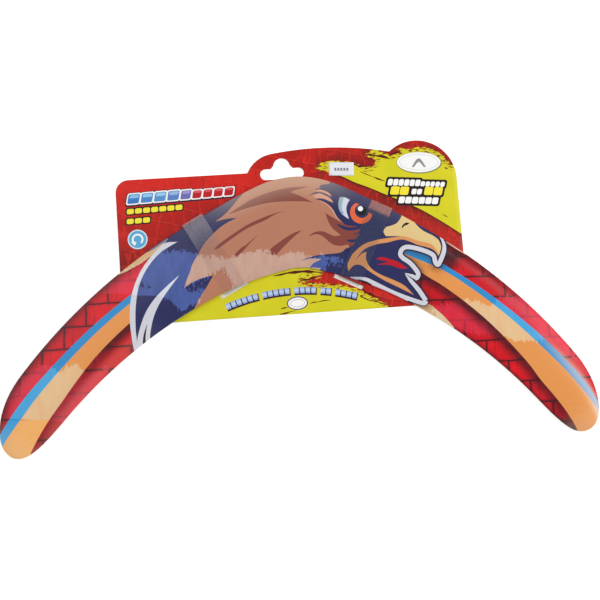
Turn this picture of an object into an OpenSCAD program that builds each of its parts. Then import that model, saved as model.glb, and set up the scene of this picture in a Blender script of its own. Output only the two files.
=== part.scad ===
// Two-winged toy boomerang strapped to its printed hang card.
// The pack lies on its back: X runs across the card, Y up the card, Z out of its printed face.
// The origin is under the middle of the whole pack, on the surface that it lies on.

/* [Blade] */
// Length of one wing along the blade's middle line
wing_run = 268.5; // [240:0.5:300]
// Radius of the middle line at the elbow
elbow_radius = 51; // [40:1:70]
// Angle that the middle line turns through on each side of the elbow's centre
elbow_angle = 19; // [14:0.5:24]
// Radius of the middle line along a wing
wing_radius = 374; // [300:2:480]
// Width of a wing where it would start at the elbow's centre
middle_chord = 60.5; // [50:0.5:66]
// Extra width of the elbow
elbow_bulge = 6.8; // [0:0.1:10]
// Distance over which the extra width fades
elbow_spread = 45.5; // [30:0.5:60]
// Width that a wing would reach at its end without the rounded tip
end_chord = 40; // [34:0.5:48]
// Length of the rounded tip
tip_length = 48; // [36:1:60]
// Roundness of the tip, where 2 is an ellipse
tip_power = 2.25; // [1.8:0.05:3]
// How far the tip leans to the blade's hollow side, as a share of its length
tip_sweep = 0.1; // [0:0.01:0.2]
// Thickness of the finished blade
blade_thick = 5; // [4:0.1:7]
// Height of the blade's rim
rim_height = 1.4; // [1.2:0.1:2]
// Share of the width that a leading edge takes to reach full thickness
nose_share = 0.22; // [0.15:0.01:0.3]
// Share of the width that a trailing edge takes to reach full thickness
tail_share = 0.75; // [0.5:0.05:0.9]
// Thickness of the printed film over the blade's top and rim
film_thick = 0.15; // [0.1:0.05:0.3]

/* [Card] */
// Width of the card
card_w = 250; // [240:1:270]
// Height of the card below its crest
card_h = 105; // [98:1:120]
// Thickness of the card
card_thick = 0.6; // [0.5:0.1:1]
// Radius of the card's corners
corner_r = 9.5; // [4:0.5:14]
// Radius of the long low crest on the top edge
crest_r = 243; // [220:1:270]
// Middle of the crest, to the right of the card's centre
crest_x = 24; // [18:1:30]
// Height of the crest above the card's centre
crest_top = 68.4; // [66:0.1:72]
// Radius of the crest's left shoulder
shoulder_r = 24; // [20:1:28]
// Middle of the shoulder's round, from the card's centre
shoulder_x = -8; // [-12:0.5:-4]
// Radius of the round lobe at the card's top right corner
lobe_r = 29.5; // [26:0.5:32]
// Height of the lobe above the card's centre
lobe_top = 70; // [67:0.5:74]

/* [Hang slot] */
// Length of the slot
slot_w = 32; // [30:0.5:34]
// Height of the slot's two arms
slot_h = 8; // [7:0.5:9]
// Radius of the hump over the slot's middle
hump_r = 6; // [5:0.5:7]
// Middle of the slot, from the card's centre
slot_x = -4.3; // [-8:0.1:0]
// Height of the slot's arms above the card's centre
slot_y = 50.6; // [48:0.1:53]

/* [Straps] */
// Width of a strap
strap_w = 16.5; // [14:0.5:18]
// Thickness of the strap film
strap_thick = 0.2; // [0.15:0.05:0.3]
// Lean of each strap from the card's upright
strap_angle = 27.5; // [24:0.5:31]
// Distance from the straps' midline to the middle of each strap
strap_mid_x = 55; // [52:0.5:58]
// Sideways place of the straps' midline on the card
strap_axis_x = -3.15; // [-4:0.05:-2]
// Height of the middle of each strap on the card
strap_mid_y = -5.5; // [-7:0.5:-4]
// Distance from the middle of the left strap to its lower leg
left_lower_leg = 30.2; // [30:0.1:30.6]
// Distance from the middle of the left strap to its upper leg
left_upper_leg = 29.3; // [29.2:0.1:31]
// Distance from the middle of the right strap to its lower leg
right_lower_leg = 28.4; // [28.4:0.1:30.6]
// Distance from the middle of the right strap to its upper leg
right_upper_leg = 32.6; // [32.6:0.1:34]
// Distance from a strap's middle to its lower slit, just outside the blade
lower_slit = 29.7; // [29.5:0.1:29.7]
// Distance from a strap's middle to its upper slit, under the blade's edge
upper_slit = 25.6; // [24:0.1:26]
// Length of a slit in the card
slit_l = 22.5; // [20:0.5:24]
// Width of a slit
slit_w = 2.8; // [2.4:0.1:3.2]
// Clearance between the blade's top and a strap
strap_lift = 0.3; // [0.3:0.05:0.6]
// Length of the strap tails folded against the card's back
tail_l = 18; // [12:0.5:20]
// Width of a fixing tape
tape_w = 30; // [24:0.5:34]
// Length of a fixing tape
tape_l = 72; // [68:0.5:76]
// Thickness of a fixing tape
tape_thick = 0.2; // [0.15:0.05:0.3]

/* [Code sticker] */
// Width of the sticker
sticker_w = 18.5; // [14:0.5:22]
// Height of the sticker
sticker_h = 10; // [7:0.5:12]
// Thickness of the sticker
sticker_thick = 0.12; // [0.1:0.02:0.2]
// Place of the sticker's middle, to the right of the card's centre
sticker_x = 39.5; // [36:0.5:44]
// Height of the sticker's middle above the card's centre
sticker_y = 51.7; // [49:0.1:54]
// Turn of the sticker on the card
sticker_turn = -3.4; // [-8:0.1:8]

/* [Blade on the card] */
// Turn of the blade from the card's upright
blade_turn = -1.9; // [-2:0.1:-1]
// Sideways place of the blade's own zero point, from the card's centre
blade_x = 3.05; // [2.9:0.05:3.2]
// Height of the blade's own zero point, from the card's centre
blade_y = -43.1; // [-43.3:0.1:-42.9]

/* [Hidden] */

// Levels above the surface that the pack lies on
tail_z = tape_thick;
card_z = tail_z + strap_thick;
card_top = card_z + card_thick;
// A strap's upper end runs under the blade's edge, with this much air on each side of the film.
hook_air = 0.15;
blade_z = card_top + strap_thick + 2 * hook_air;
strap_z = blade_z + blade_thick + strap_lift;

// The elbow's centre on the blade's middle line, in the blade's own frame
middle_y = 57.1;
elbow_run = elbow_radius * elbow_angle * PI / 180;
// Share of a ring's height that is left at the very end of a tip
end_height = 0.45;
// Distance from the tip over which the blade thins
thin_run = 12;
// Half of the stretch over which leading and trailing edges change sides
swap_run = 70;
// The film stops this far above the blade's underside.
rim_gap = 0.4;
wing_steps = 22;
tip_steps = 12;
top_steps = 14;

// Each strap's lower and upper leg, and the slits that they go through, from the strap's middle
left_reach = [-left_lower_leg, left_upper_leg];
right_reach = [-right_lower_leg, right_upper_leg];
slits = [-lower_slit, upper_slit];
strap_power = 3.2;
strap_steps = 28;
// Gap between the foot of a strap and the tail that continues it
foot_gap = 0.05;

function arc(centre, r, from, to, steps = 12) =
    [for (i = [0:steps]) centre + r * [cos(from + (to - from) * i / steps), sin(from + (to - from) * i / steps)]];
function reversed(list) = [for (i = [len(list) - 1:-1:0]) list[i]];
function smooth(a) = let (t = min(1, max(0, a))) t * t * (3 - 2 * t);
function turned(p, a) = [p.x * cos(a) - p.y * sin(a), p.x * sin(a) + p.y * cos(a)];

// ---- the blade's plan ----
function tip_share(s) = max(0, (s - wing_run + tip_length) / tip_length);
function tip_round(s) = pow(max(0, 1 - pow(tip_share(s), tip_power)), 1 / tip_power);
function chord(s) = tip_round(s) * (middle_chord + (end_chord - middle_chord) * s / wing_run
    + elbow_bulge * exp(-pow(s / elbow_spread, 2)));
function lean(s) = s < elbow_run ? s / elbow_radius * 180 / PI
    : elbow_angle + (s - elbow_run) / wing_radius * 180 / PI;
function middle_line(s) = let (a = min(lean(s), elbow_angle))
    [elbow_radius * sin(a), middle_y + elbow_radius * (cos(a) - 1)]
    + (s < elbow_run ? [0, 0]
        : wing_radius * [sin(lean(s)) - sin(elbow_angle), cos(lean(s)) - cos(elbow_angle)]);
// A point of the plan at a signed distance along the blade and a height across it
function plan_point(s, across) = let (
        d = abs(s),
        off = across - tip_sweep * tip_length * pow(tip_share(d), 2),
        p = middle_line(d) + off * [sin(lean(d)), cos(lean(d))])
    [s < 0 ? -p.x : p.x, p.y];

// ---- the blade's section ----
function nose(share) = sqrt(1 - pow(1 - min(1, share / nose_share), 2));
function trailing(share) = sin(90 * min(1, share / tail_share));
function lead_outer(s) = smooth((s + swap_run) / (2 * swap_run));
function rise(share, lead) = lead * nose(share) + (1 - lead) * trailing(share);
function thinning(s) = let (left = min(1, (wing_run - abs(s)) / thin_run))
    end_height + (1 - end_height) * sqrt(1 - pow(1 - left, 2));
function top_height(s, v) = rim_height + (blade_thick * thinning(s) - rim_height)
    * rise((1 - v) / 2, lead_outer(s)) * rise((1 + v) / 2, 1 - lead_outer(s));

end_share = 0.9993;
half_stations = concat(
    [for (i = [0:wing_steps - 1]) (wing_run - tip_length) * i / wing_steps],
    [for (i = [0:tip_steps]) wing_run - tip_length + tip_length * end_share * sin(90 * i / tip_steps)]);
stations = concat(
    [for (i = [len(half_stations) - 1:-1:1]) -half_stations[i]],
    half_stations);
across_steps = [for (i = [0:top_steps]) sin(180 * i / top_steps - 90)];

function top_row(s, inset) = [for (v = across_steps)
    let (p = plan_point(s, v * (chord(abs(s)) / 2 - inset))) [p.x, p.y, top_height(s, v) - inset]];
function low_point(s, across, z) = let (p = plan_point(s, across)) [p.x, p.y, z];
function core_ring(s) = let (half = chord(abs(s)) / 2 - film_thick) concat(
    [low_point(s, -max(half - rim_gap, half / 2), 0), low_point(s, -half, rim_gap)],
    top_row(s, film_thick),
    [low_point(s, half, rim_gap), low_point(s, max(half - rim_gap, half / 2), 0)]);
function film_ring(s) = let (half = chord(abs(s)) / 2) concat(
    [low_point(s, -half, rim_gap)],
    top_row(s, 0),
    [low_point(s, half, rim_gap), low_point(s, half - film_thick, rim_gap)],
    reversed(top_row(s, film_thick)),
    [low_point(s, film_thick - half, rim_gap)]);

// A closed skin over rings of equal length, with a fan of triangles at each end. From point turn_back on,
// a ring runs back along another skin's face, so its quads are split the other way to match that skin.
module skin(rings, caps, turn_back) {
    n = len(rings[0]);
    last = len(rings) - 1;
    points = [for (ring = rings, p = ring) p];
    sides = [for (j = [0:last - 1], i = [0:n - 1], half = [0:1])
        let (a = j * n + i, b = j * n + (i + 1) % n, c = b + n, d = a + n)
        i < turn_back ? (half == 0 ? [a, b, c] : [a, c, d]) : (half == 0 ? [a, b, d] : [b, c, d])];
    first_cap = [for (t = caps) [t[2], t[1], t[0]]];
    last_cap = [for (t = caps) [for (i = t) last * n + i]];
    polyhedron(points, concat(sides, first_cap, last_cap));
}

core_count = len(core_ring(0));
core_caps = [for (i = [1:core_count - 2]) [0, i, i + 1]];
film_count = len(film_ring(0));
film_caps = [for (i = [0:film_count / 2 - 2], half = [0:1])
    half == 0 ? [i, i + 1, film_count - 2 - i] : [i, film_count - 2 - i, film_count - 1 - i]];

// ---- the whole pack's middle ----
blade_at = [blade_x, blade_y];
function on_card(p) = turned(p, blade_turn) + blade_at;
blade_edge = [for (s = stations, side = [-1, 1]) on_card(plan_point(s, side * chord(abs(s)) / 2))];
pack_low = [min([for (p = blade_edge) p.x]), min([for (p = blade_edge) p.y])];
pack_high = [max([for (p = blade_edge) p.x]), max(lobe_top, crest_top)];
card_at = -(pack_low + pack_high) / 2;

module on_pack(z = 0) {
    translate([card_at.x, card_at.y, z]) children();
}

module on_blade() {
    on_pack(blade_z) translate(blade_at) rotate(blade_turn) children();
}

// ---- the card's plan ----
crest_centre = [crest_x, crest_top - crest_r];
lobe_centre = [card_w / 2 - lobe_r, lobe_top - lobe_r];
// The shoulder's round touches the crest's circle from inside.
shoulder_centre = [shoulder_x,
    crest_centre.y + sqrt(pow(crest_r - shoulder_r, 2) - pow(shoulder_x - crest_x, 2))];
// Angle about one circle's centre at which a second circle crosses it, on the side that turn picks
function crossing(c1, r1, c2, r2, turn) = let (d = c2 - c1, gap = norm(d))
    (atan2(d.y, d.x) + turn * acos((r1 * r1 + gap * gap - r2 * r2) / (2 * r1 * gap)) + 360) % 360;

module card_plan() {
    low = card_h / 2 - corner_r;
    wide = card_w / 2 - corner_r;
    shoulder_from = atan2(shoulder_centre.y - crest_centre.y, shoulder_centre.x - crest_centre.x);
    shoulder_to = 180 - asin((card_h / 2 - shoulder_centre.y) / shoulder_r);
    polygon(concat(
        arc([-wide, -low], corner_r, 180, 270),
        arc([wide, -low], corner_r, 270, 360),
        arc(lobe_centre, lobe_r, 0, crossing(lobe_centre, lobe_r, crest_centre, crest_r, -1), 24),
        arc(crest_centre, crest_r, crossing(crest_centre, crest_r, lobe_centre, lobe_r, 1), shoulder_from, 16),
        arc(shoulder_centre, shoulder_r, shoulder_from, shoulder_to),
        arc([-wide, low], corner_r, 90, 180)));
}

module slot_plan() {
    arm = slot_w / 2 - slot_h / 2;
    hump_y = slot_h / 2 + hump_r / 4;
    polygon(concat(
        arc([-arm, 0], slot_h / 2, 90, 270),
        arc([arm, 0], slot_h / 2, -90, 90),
        [[hump_r + 2, slot_h / 2]],
        arc([0, hump_y], hump_r, 8, 172, 16),
        [[-hump_r - 2, slot_h / 2]]));
}

// ---- the straps ----
// Puts a strap's own frame on the card: Y runs along the strap, side is -1 on the left and 1 on the right.
module along_strap(side) {
    translate([strap_axis_x + side * strap_mid_x, strap_mid_y]) rotate(-side * strap_angle) children();
}

// The film's inner line over the blade, from the lower leg to the upper one
function over_line(reach, grow) = let (mid = (reach[0] + reach[1]) / 2, half = (reach[1] - reach[0]) / 2)
    [for (i = [0:strap_steps]) let (a = 180 - 180 * i / strap_steps)
        [mid + (half + grow) * sign(cos(a)) * pow(abs(cos(a)), 2 / strap_power),
        blade_z + rim_height + (strap_z - blade_z - rim_height + grow) * pow(sin(a), 2 / strap_power)]];

module strap_film(reach) {
    hook_low = card_top + hook_air;
    hook_high = hook_low + strap_thick;
    foot = card_z + foot_gap;
    inner = concat(
        [[reach[0], foot]],
        over_line(reach, 0),
        [[reach[1], hook_high], [slits[1] - strap_thick, hook_high], [slits[1] - strap_thick, foot]]);
    outer = concat(
        [[reach[0] - strap_thick, foot]],
        over_line(reach, strap_thick),
        [[reach[1] + strap_thick, hook_low], [slits[1], hook_low], [slits[1], foot]]);
    rotate([90, 0, 90])
        translate([0, 0, -strap_w / 2])
        linear_extrude(strap_w)
        polygon(concat(outer, reversed(inner)));
}

module strap(side, reach) {
    on_pack() along_strap(side) strap_film(reach);
}

// A tail starts under its slit and lies against the card's back, towards the strap's middle.
module tail_sheet(slit, trim = 0) {
    towards = slit > 0 ? -1 : 1;
    translate([-strap_w / 2, min(slit, slit + towards * tail_l), 0]) cube([strap_w, tail_l, strap_thick + trim]);
}

module strap_tail(side, slit) {
    color("#e6ecee") on_pack(tail_z) along_strap(side) tail_sheet(slit);
}

// ---- the pieces ----
module hang_card() {
    color("#c9271c") on_pack(card_z) linear_extrude(card_thick) difference() {
        card_plan();
        translate([slot_x, slot_y]) slot_plan();
        for (side = [-1, 1], slit = slits)
            along_strap(side) translate([0, slit]) square([slit_l, slit_w], center = true);
    }
}

module code_sticker() {
    color("#f2f2ee") on_pack(card_top) translate([sticker_x, sticker_y]) rotate(sticker_turn)
        translate([-sticker_w / 2, -sticker_h / 2]) cube([sticker_w, sticker_h, sticker_thick]);
}

module blade_core() {
    color("#e9e4da") on_blade() skin([for (s = stations) core_ring(s)], core_caps, core_count);
}

module blade_film() {
    color("#b8272b") on_blade() skin([for (s = stations) film_ring(s)], film_caps, film_count / 2);
}

module strap_left() {
    color("#dfe8ea", 0.4) strap(-1, left_reach);
}

module strap_right() {
    color("#dfe8ea", 0.4) strap(1, right_reach);
}

module tail_left_upper() {
    strap_tail(-1, upper_slit);
}

module tail_left_lower() {
    strap_tail(-1, -lower_slit);
}

module tail_right_upper() {
    strap_tail(1, upper_slit);
}

module tail_right_lower() {
    strap_tail(1, -lower_slit);
}

// A tape covers both tails of its strap and meets the card all round them.
module tape(side) {
    color("#d9cfae") on_pack() along_strap(side) difference() {
        translate([-tape_w / 2, -tape_l / 2 - 2, 0]) cube([tape_w, tape_l, card_z]);
        for (slit = slits) translate([0, 0, tail_z]) tail_sheet(slit, 1);
    }
}

module tape_left() {
    tape(-1);
}

module tape_right() {
    tape(1);
}

hang_card();
code_sticker();
blade_core();
blade_film();
strap_left();
strap_right();
tail_left_upper();
tail_left_lower();
tail_right_upper();
tail_right_lower();
tape_left();
tape_right();
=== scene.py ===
"""Looks for the toy boomerang on its hang card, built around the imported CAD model.

Artwork is drawn in millimetres in two flat frames. The blade's own frame has its zero point under the
elbow with X from wing tip to wing tip; the card's has its zero point in the middle of the card.
"""

import math

import bpy
import numpy as np
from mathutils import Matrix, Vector
from mathutils.geometry import delaunay_2d_cdt


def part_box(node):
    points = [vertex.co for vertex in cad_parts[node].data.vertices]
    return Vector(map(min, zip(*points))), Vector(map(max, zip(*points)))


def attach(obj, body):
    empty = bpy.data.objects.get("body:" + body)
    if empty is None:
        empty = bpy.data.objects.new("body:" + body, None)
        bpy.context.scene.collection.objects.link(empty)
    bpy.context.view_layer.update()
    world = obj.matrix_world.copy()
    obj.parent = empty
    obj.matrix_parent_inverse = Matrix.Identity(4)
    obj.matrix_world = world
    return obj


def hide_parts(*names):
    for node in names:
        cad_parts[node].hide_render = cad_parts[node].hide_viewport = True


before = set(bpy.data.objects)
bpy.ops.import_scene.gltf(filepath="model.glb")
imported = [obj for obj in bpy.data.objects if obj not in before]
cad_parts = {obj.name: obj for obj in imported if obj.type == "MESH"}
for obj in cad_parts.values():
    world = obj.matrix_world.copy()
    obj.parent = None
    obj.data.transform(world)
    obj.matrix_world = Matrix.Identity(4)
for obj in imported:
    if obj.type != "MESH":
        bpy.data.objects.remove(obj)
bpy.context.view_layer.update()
MM = 0.001

# ---- the frame's sizes, in millimetres ----
# Blade, as in the CAD source
WING_RUN, TIP_LENGTH, TIP_POWER, TIP_SWEEP = 268.5, 48.0, 2.25, 0.1
ELBOW_RADIUS, ELBOW_ANGLE, WING_RADIUS, MIDDLE_Y = 51.0, math.radians(19), 374.0, 57.1
MIDDLE_CHORD, END_CHORD, ELBOW_BULGE, ELBOW_SPREAD = 60.5, 40.0, 6.8, 45.5
BLADE_THICK, RIM_HEIGHT, RIM_GAP, FILM_THICK = 5.0, 1.4, 0.4, 0.15
NOSE_SHARE, TAIL_SHARE, SWAP_RUN, THIN_RUN, END_HEIGHT = 0.22, 0.75, 70.0, 12.0, 0.45
BLADE_TURN, BLADE_AT = math.radians(-1.9), np.array([3.05, -43.1])
ELBOW_RUN = ELBOW_RADIUS * ELBOW_ANGLE
ELBOW_CENTRE_Y = MIDDLE_Y - ELBOW_RADIUS
WING_CENTRE = np.array([(ELBOW_RADIUS - WING_RADIUS) * math.sin(ELBOW_ANGLE),
                        ELBOW_CENTRE_Y + (ELBOW_RADIUS - WING_RADIUS) * math.cos(ELBOW_ANGLE)])

# Card and straps
CARD_W, CARD_H, CARD_THICK, CORNER_R = 250.0, 105.0, 0.6, 9.5
CREST_R, CREST_X, CREST_TOP = 243.0, 24.0, 68.4
SHOULDER_R, SHOULDER_X, LOBE_R, LOBE_TOP = 24.0, -8.0, 29.5, 70.0
SLOT_W, SLOT_H, HUMP_R, SLOT_AT = 32.0, 8.0, 6.0, np.array([-4.3, 50.6])
STRAP_W, STRAP_THICK, STRAP_ANGLE = 16.5, 0.2, math.radians(27.5)
STRAP_AXIS_X, STRAP_MID_X, STRAP_MID_Y, STRAP_POWER = -3.15, 55.0, -5.5, 3.2
REACH = {-1: (-30.2, 29.3), 1: (-28.4, 32.6)}
LOWER_SLIT, UPPER_SLIT, SLIT_L, SLIT_W = -29.7, 25.6, 22.5, 2.8
STRAP_LIFT, HOOK_AIR = 0.3, 0.15

card_low, card_high = (np.array(corner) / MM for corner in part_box("hang_card"))
CARD_AT = np.array([card_low[0] + CARD_W / 2, card_low[1] + CARD_H / 2])
CARD_Z, CARD_TOP = card_low[2], card_high[2]
BLADE_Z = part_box("blade_core")[0].z / MM


def turned(points, angle):
    c, s = math.cos(angle), math.sin(angle)
    return np.asarray(points, float) @ np.array([[c, s], [-s, c]])


def blade_to_frame(points):
    return turned(points, BLADE_TURN) + BLADE_AT + CARD_AT


def card_to_frame(points):
    return np.asarray(points, float) + CARD_AT


# ---- the blade's shape ----
def tip_share(s):
    """How far into the rounded tip a distance along the blade is, from 0 to 1."""
    return np.clip((np.abs(s) - WING_RUN + TIP_LENGTH) / TIP_LENGTH, 0, 1)


def half_chord(s):
    """Half the blade's width at a distance along it."""
    d = np.abs(s)
    width = MIDDLE_CHORD + (END_CHORD - MIDDLE_CHORD) * d / WING_RUN
    width += ELBOW_BULGE * np.exp(-(d / ELBOW_SPREAD) ** 2)
    return (1 - tip_share(s) ** TIP_POWER) ** (1 / TIP_POWER) * width / 2


def plan_point(s, across):
    """Point at a signed distance s along the blade and a height across it."""
    s, across = np.broadcast_arrays(np.asarray(s, float), np.asarray(across, float))
    d = np.abs(s)
    off = across - TIP_SWEEP * TIP_LENGTH * tip_share(d) ** 2
    bend = np.minimum(d / ELBOW_RADIUS, ELBOW_ANGLE)
    lean = np.where(d < ELBOW_RUN, d / ELBOW_RADIUS, ELBOW_ANGLE + (d - ELBOW_RUN) / WING_RADIUS)
    past = np.where(d < ELBOW_RUN, 0, WING_RADIUS)
    x = ELBOW_RADIUS * np.sin(bend) + past * (np.sin(lean) - math.sin(ELBOW_ANGLE))
    y = MIDDLE_Y + ELBOW_RADIUS * (np.cos(bend) - 1) + past * (np.cos(lean) - math.cos(ELBOW_ANGLE))
    x, y = x + off * np.sin(lean), y + off * np.cos(lean)
    return np.stack([np.where(s < 0, -x, x), y], -1)


def blade_place(points):
    """The s and the height across that plan_point takes, for points of the blade's plan."""
    x, y = points[:, 0], points[:, 1]
    d = np.abs(x)
    near = np.arctan2(d, y - ELBOW_CENTRE_Y)
    far = np.arctan2(d - WING_CENTRE[0], y - WING_CENTRE[1])
    elbow = near < ELBOW_ANGLE
    s = np.where(elbow, ELBOW_RADIUS * near, ELBOW_RUN + WING_RADIUS * (far - ELBOW_ANGLE))
    off = np.where(elbow, np.hypot(d, y - ELBOW_CENTRE_Y) - ELBOW_RADIUS,
                   np.hypot(d - WING_CENTRE[0], y - WING_CENTRE[1]) - WING_RADIUS)
    return np.where(x < 0, -s, s), off + TIP_SWEEP * TIP_LENGTH * tip_share(s) ** 2


def smooth(a):
    t = np.clip(a, 0, 1)
    return t * t * (3 - 2 * t)


def rise(share, lead):
    """How the top climbs from an edge: steeply if the edge leads, gently if it trails."""
    nose = np.sqrt(1 - (1 - np.clip(share / NOSE_SHARE, 0, 1)) ** 2)
    trailing = np.sin(math.pi / 2 * np.clip(share / TAIL_SHARE, 0, 1))
    return lead * nose + (1 - lead) * trailing


def top_height(s, v):
    """Height of the blade's top at a distance along it and a share of the half width, from -1 to 1."""
    left = np.clip((WING_RUN - np.abs(s)) / THIN_RUN, 0, 1)
    thin = END_HEIGHT + (1 - END_HEIGHT) * np.sqrt(1 - (1 - left) ** 2)
    lead = smooth((s + SWAP_RUN) / (2 * SWAP_RUN))
    bow = rise((1 - v) / 2, lead) * rise((1 + v) / 2, 1 - lead)
    return RIM_HEIGHT + (BLADE_THICK * thin - RIM_HEIGHT) * bow


# ---- flat drawing: smooth runs, closed shapes and bands ----
def unit(vectors):
    """The same flat directions with a length of 1."""
    return vectors / np.maximum(np.hypot(*vectors.T), 1e-9)[:, None]


def run(points, step=1.0):
    """A smooth open line through the points."""
    p = np.array(points, float)
    if len(p) == 2:
        count = max(1, int(np.hypot(*(p[1] - p[0])) / step))
        return p[0] + (p[1] - p[0]) * np.linspace(0, 1, count + 1)[:, None]
    p = np.vstack([2 * p[0] - p[1], p, 2 * p[-1] - p[-2]])
    line = []
    for a, b, c, d in zip(p[:-3], p[1:-2], p[2:-1], p[3:]):
        count = max(2, int(np.hypot(*(c - b)) / step))
        t = (np.arange(count) / count)[:, None]
        line.append(0.5 * (2 * b + (c - a) * t + (2 * a - 5 * b + 4 * c - d) * t ** 2
                           + (3 * b - a - 3 * c + d) * t ** 3))
    return np.vstack(line + [p[-2:-1]])


def shape(*parts, step=1.0):
    """A closed outline of smooth parts that meet in corners; each starts where the one before it ended."""
    line, last = [], parts[-1][-1]
    for part in parts:
        line.append(run([last] + list(part), step)[:-1])
        last = part[-1]
    return np.vstack(line)


def dense(outline, step=2.5):
    """The same closed outline with more points on its long straight parts."""
    parts = [run([a, b], step)[:-1] for a, b in zip(outline, np.roll(outline, -1, 0))]
    return np.vstack(parts)


def ellipse(centre, a, b, turn=0.0, steps=48):
    t = np.arange(steps) * 2 * math.pi / steps
    return turned(np.stack([a * np.cos(t), b * np.sin(t)], -1), math.radians(turn)) + centre


def arc(centre, r, start, end, steps=12):
    t = np.radians(np.linspace(start, end, steps + 1))
    return np.stack([centre[0] + r * np.cos(t), centre[1] + r * np.sin(t)], -1)


def band(points, width, step=1.0):
    """The outline of a smooth line drawn with a pen; width is one number or one for each point."""
    line = run(points, step)
    widths = np.broadcast_to(np.asarray(width, float), (len(points),))
    travel = np.concatenate([[0], np.cumsum(np.hypot(*np.diff(line, axis=0).T))])
    marks = [travel[np.argmin(np.hypot(*(line - q).T))] for q in np.array(points, float)]
    half = np.interp(travel, np.maximum.accumulate(marks), widths)[:, None] / 2
    ahead = unit(np.gradient(line, axis=0))
    side = np.stack([-ahead[:, 1], ahead[:, 0]], -1) * half
    return np.vstack([line + side, (line - side)[::-1]])


def rounded_box(centre, w, h, r, turn=0.0):
    x, y = w / 2 - r, h / 2 - r
    corners = [arc((x, y), r, 0, 90, 5), arc((-x, y), r, 90, 180, 5),
               arc((-x, -y), r, 180, 270, 5), arc((x, -y), r, 270, 360, 5)]
    return turned(np.vstack(corners), math.radians(turn)) + centre


def inside(points, outline):
    """Which points lie in the outline, counting how often it winds round them."""
    winding = np.zeros(len(points), int)
    low, high = outline.min(0), outline.max(0)
    near = np.where(((points >= low) & (points <= high)).all(1))[0]
    if not len(near):
        return winding != 0
    x, y = points[near, 0][:, None], points[near, 1][:, None]
    a, b = outline, np.roll(outline, -1, 0)
    turn = (b[:, 0] - a[:, 0]) * (y - a[:, 1]) - (x - a[:, 0]) * (b[:, 1] - a[:, 1])
    up = (a[:, 1] <= y) & (b[:, 1] > y) & (turn > 0)
    down = (a[:, 1] > y) & (b[:, 1] <= y) & (turn < 0)
    winding[near] = up.sum(1) - down.sum(1)
    return winding != 0


def depth(points, outline):
    """Distance to the outline, positive inside it."""
    found = np.full(len(points), 1e9)
    for a, b in zip(outline, np.roll(outline, -1, 0)):
        d = b - a
        t = np.clip(((points - a) @ d) / max(d @ d, 1e-9), 0, 1)
        found = np.minimum(found, np.hypot(*(points - a - t[:, None] * d).T))
    return np.where(inside(points, outline), found, -found)


def paint(hexed, cover=1.0):
    """A linear colour from a web colour, with how far it covers the print below."""
    rgb = [int(hexed[i:i + 2], 16) / 255 for i in (1, 3, 5)]
    return tuple(c / 12.92 if c <= 0.04045 else ((c + 0.055) / 1.055) ** 2.4 for c in rgb) + (cover,)


def grid_points(low, high, step):
    """Points of a square grid between two corners."""
    xs, ys = np.meshgrid(np.arange(low[0], high[0], step), np.arange(low[1], high[1], step))
    return np.column_stack([xs.ravel(), ys.ravel()])


def triangulate(boundary, holes, outlines, grid):
    """Triangles of the area inside the boundary and outside the holes, cut along every outline."""
    points, edges = [], []
    for outline in [boundary, *holes, *outlines]:
        start = len(points)
        points.extend(Vector(p) for p in outline)
        edges.extend((start + i, start + (i + 1) % len(outline)) for i in range(len(outline)))
    points.extend(Vector(p) for p in grid)
    nearest = 0.004  # points closer than this become one
    verts, _, faces, *_ = delaunay_2d_cdt(points, edges, [], 0, nearest)
    plan = np.array([v[:] for v in verts])
    tris = np.array([f for f in faces if len(f) == 3])
    middle = plan[tris].mean(1)
    kept = inside(middle, boundary)
    for hole in holes:
        kept &= ~inside(middle, hole)
    tris = tris[kept]
    a, b, c = (plan[tris[:, i]] for i in range(3))
    area = (b[:, 0] - a[:, 0]) * (c[:, 1] - a[:, 1]) - (b[:, 1] - a[:, 1]) * (c[:, 0] - a[:, 0])
    tris[area < 0] = tris[area < 0][:, ::-1]
    used, tris = np.unique(tris, return_inverse=True)
    return plan[used], tris.reshape(-1, 3)


def inked(plan, tris, layers, blank):
    """The ink of each triangle: that of the last layer it lies in, or else the blank."""
    middle = plan[tris].mean(1)
    inks = np.tile(np.array(blank, float), (len(tris), 1))
    for outline, ink in layers:
        inks[inside(middle, outline)] = ink
    return inks


def border_loops(tris):
    """The border of a sheet of triangles: closed loops of vertex numbers, with the triangle at each edge."""
    owner = {(t[i], t[(i + 1) % 3]): k for k, t in enumerate(tris.tolist()) for i in range(3)}
    after = {a: (b, k) for (a, b), k in owner.items() if (b, a) not in owner}
    loops = []
    while after:
        at = next(iter(after))
        ring, faces = [], []
        while at in after:
            ring.append(at)
            at, face = after.pop(at)
            faces.append(face)
        loops.append((np.array(ring), np.array(faces)))
    return loops


def outward(plan, ring):
    """Unit normals in the plan along a loop that keeps its sheet on the left."""
    ahead = unit(np.roll(plan[ring], -1, 0) - plan[ring])
    both = unit(ahead + np.roll(ahead, 1, 0))
    return np.stack([both[:, 1], -both[:, 0]], -1)


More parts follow.
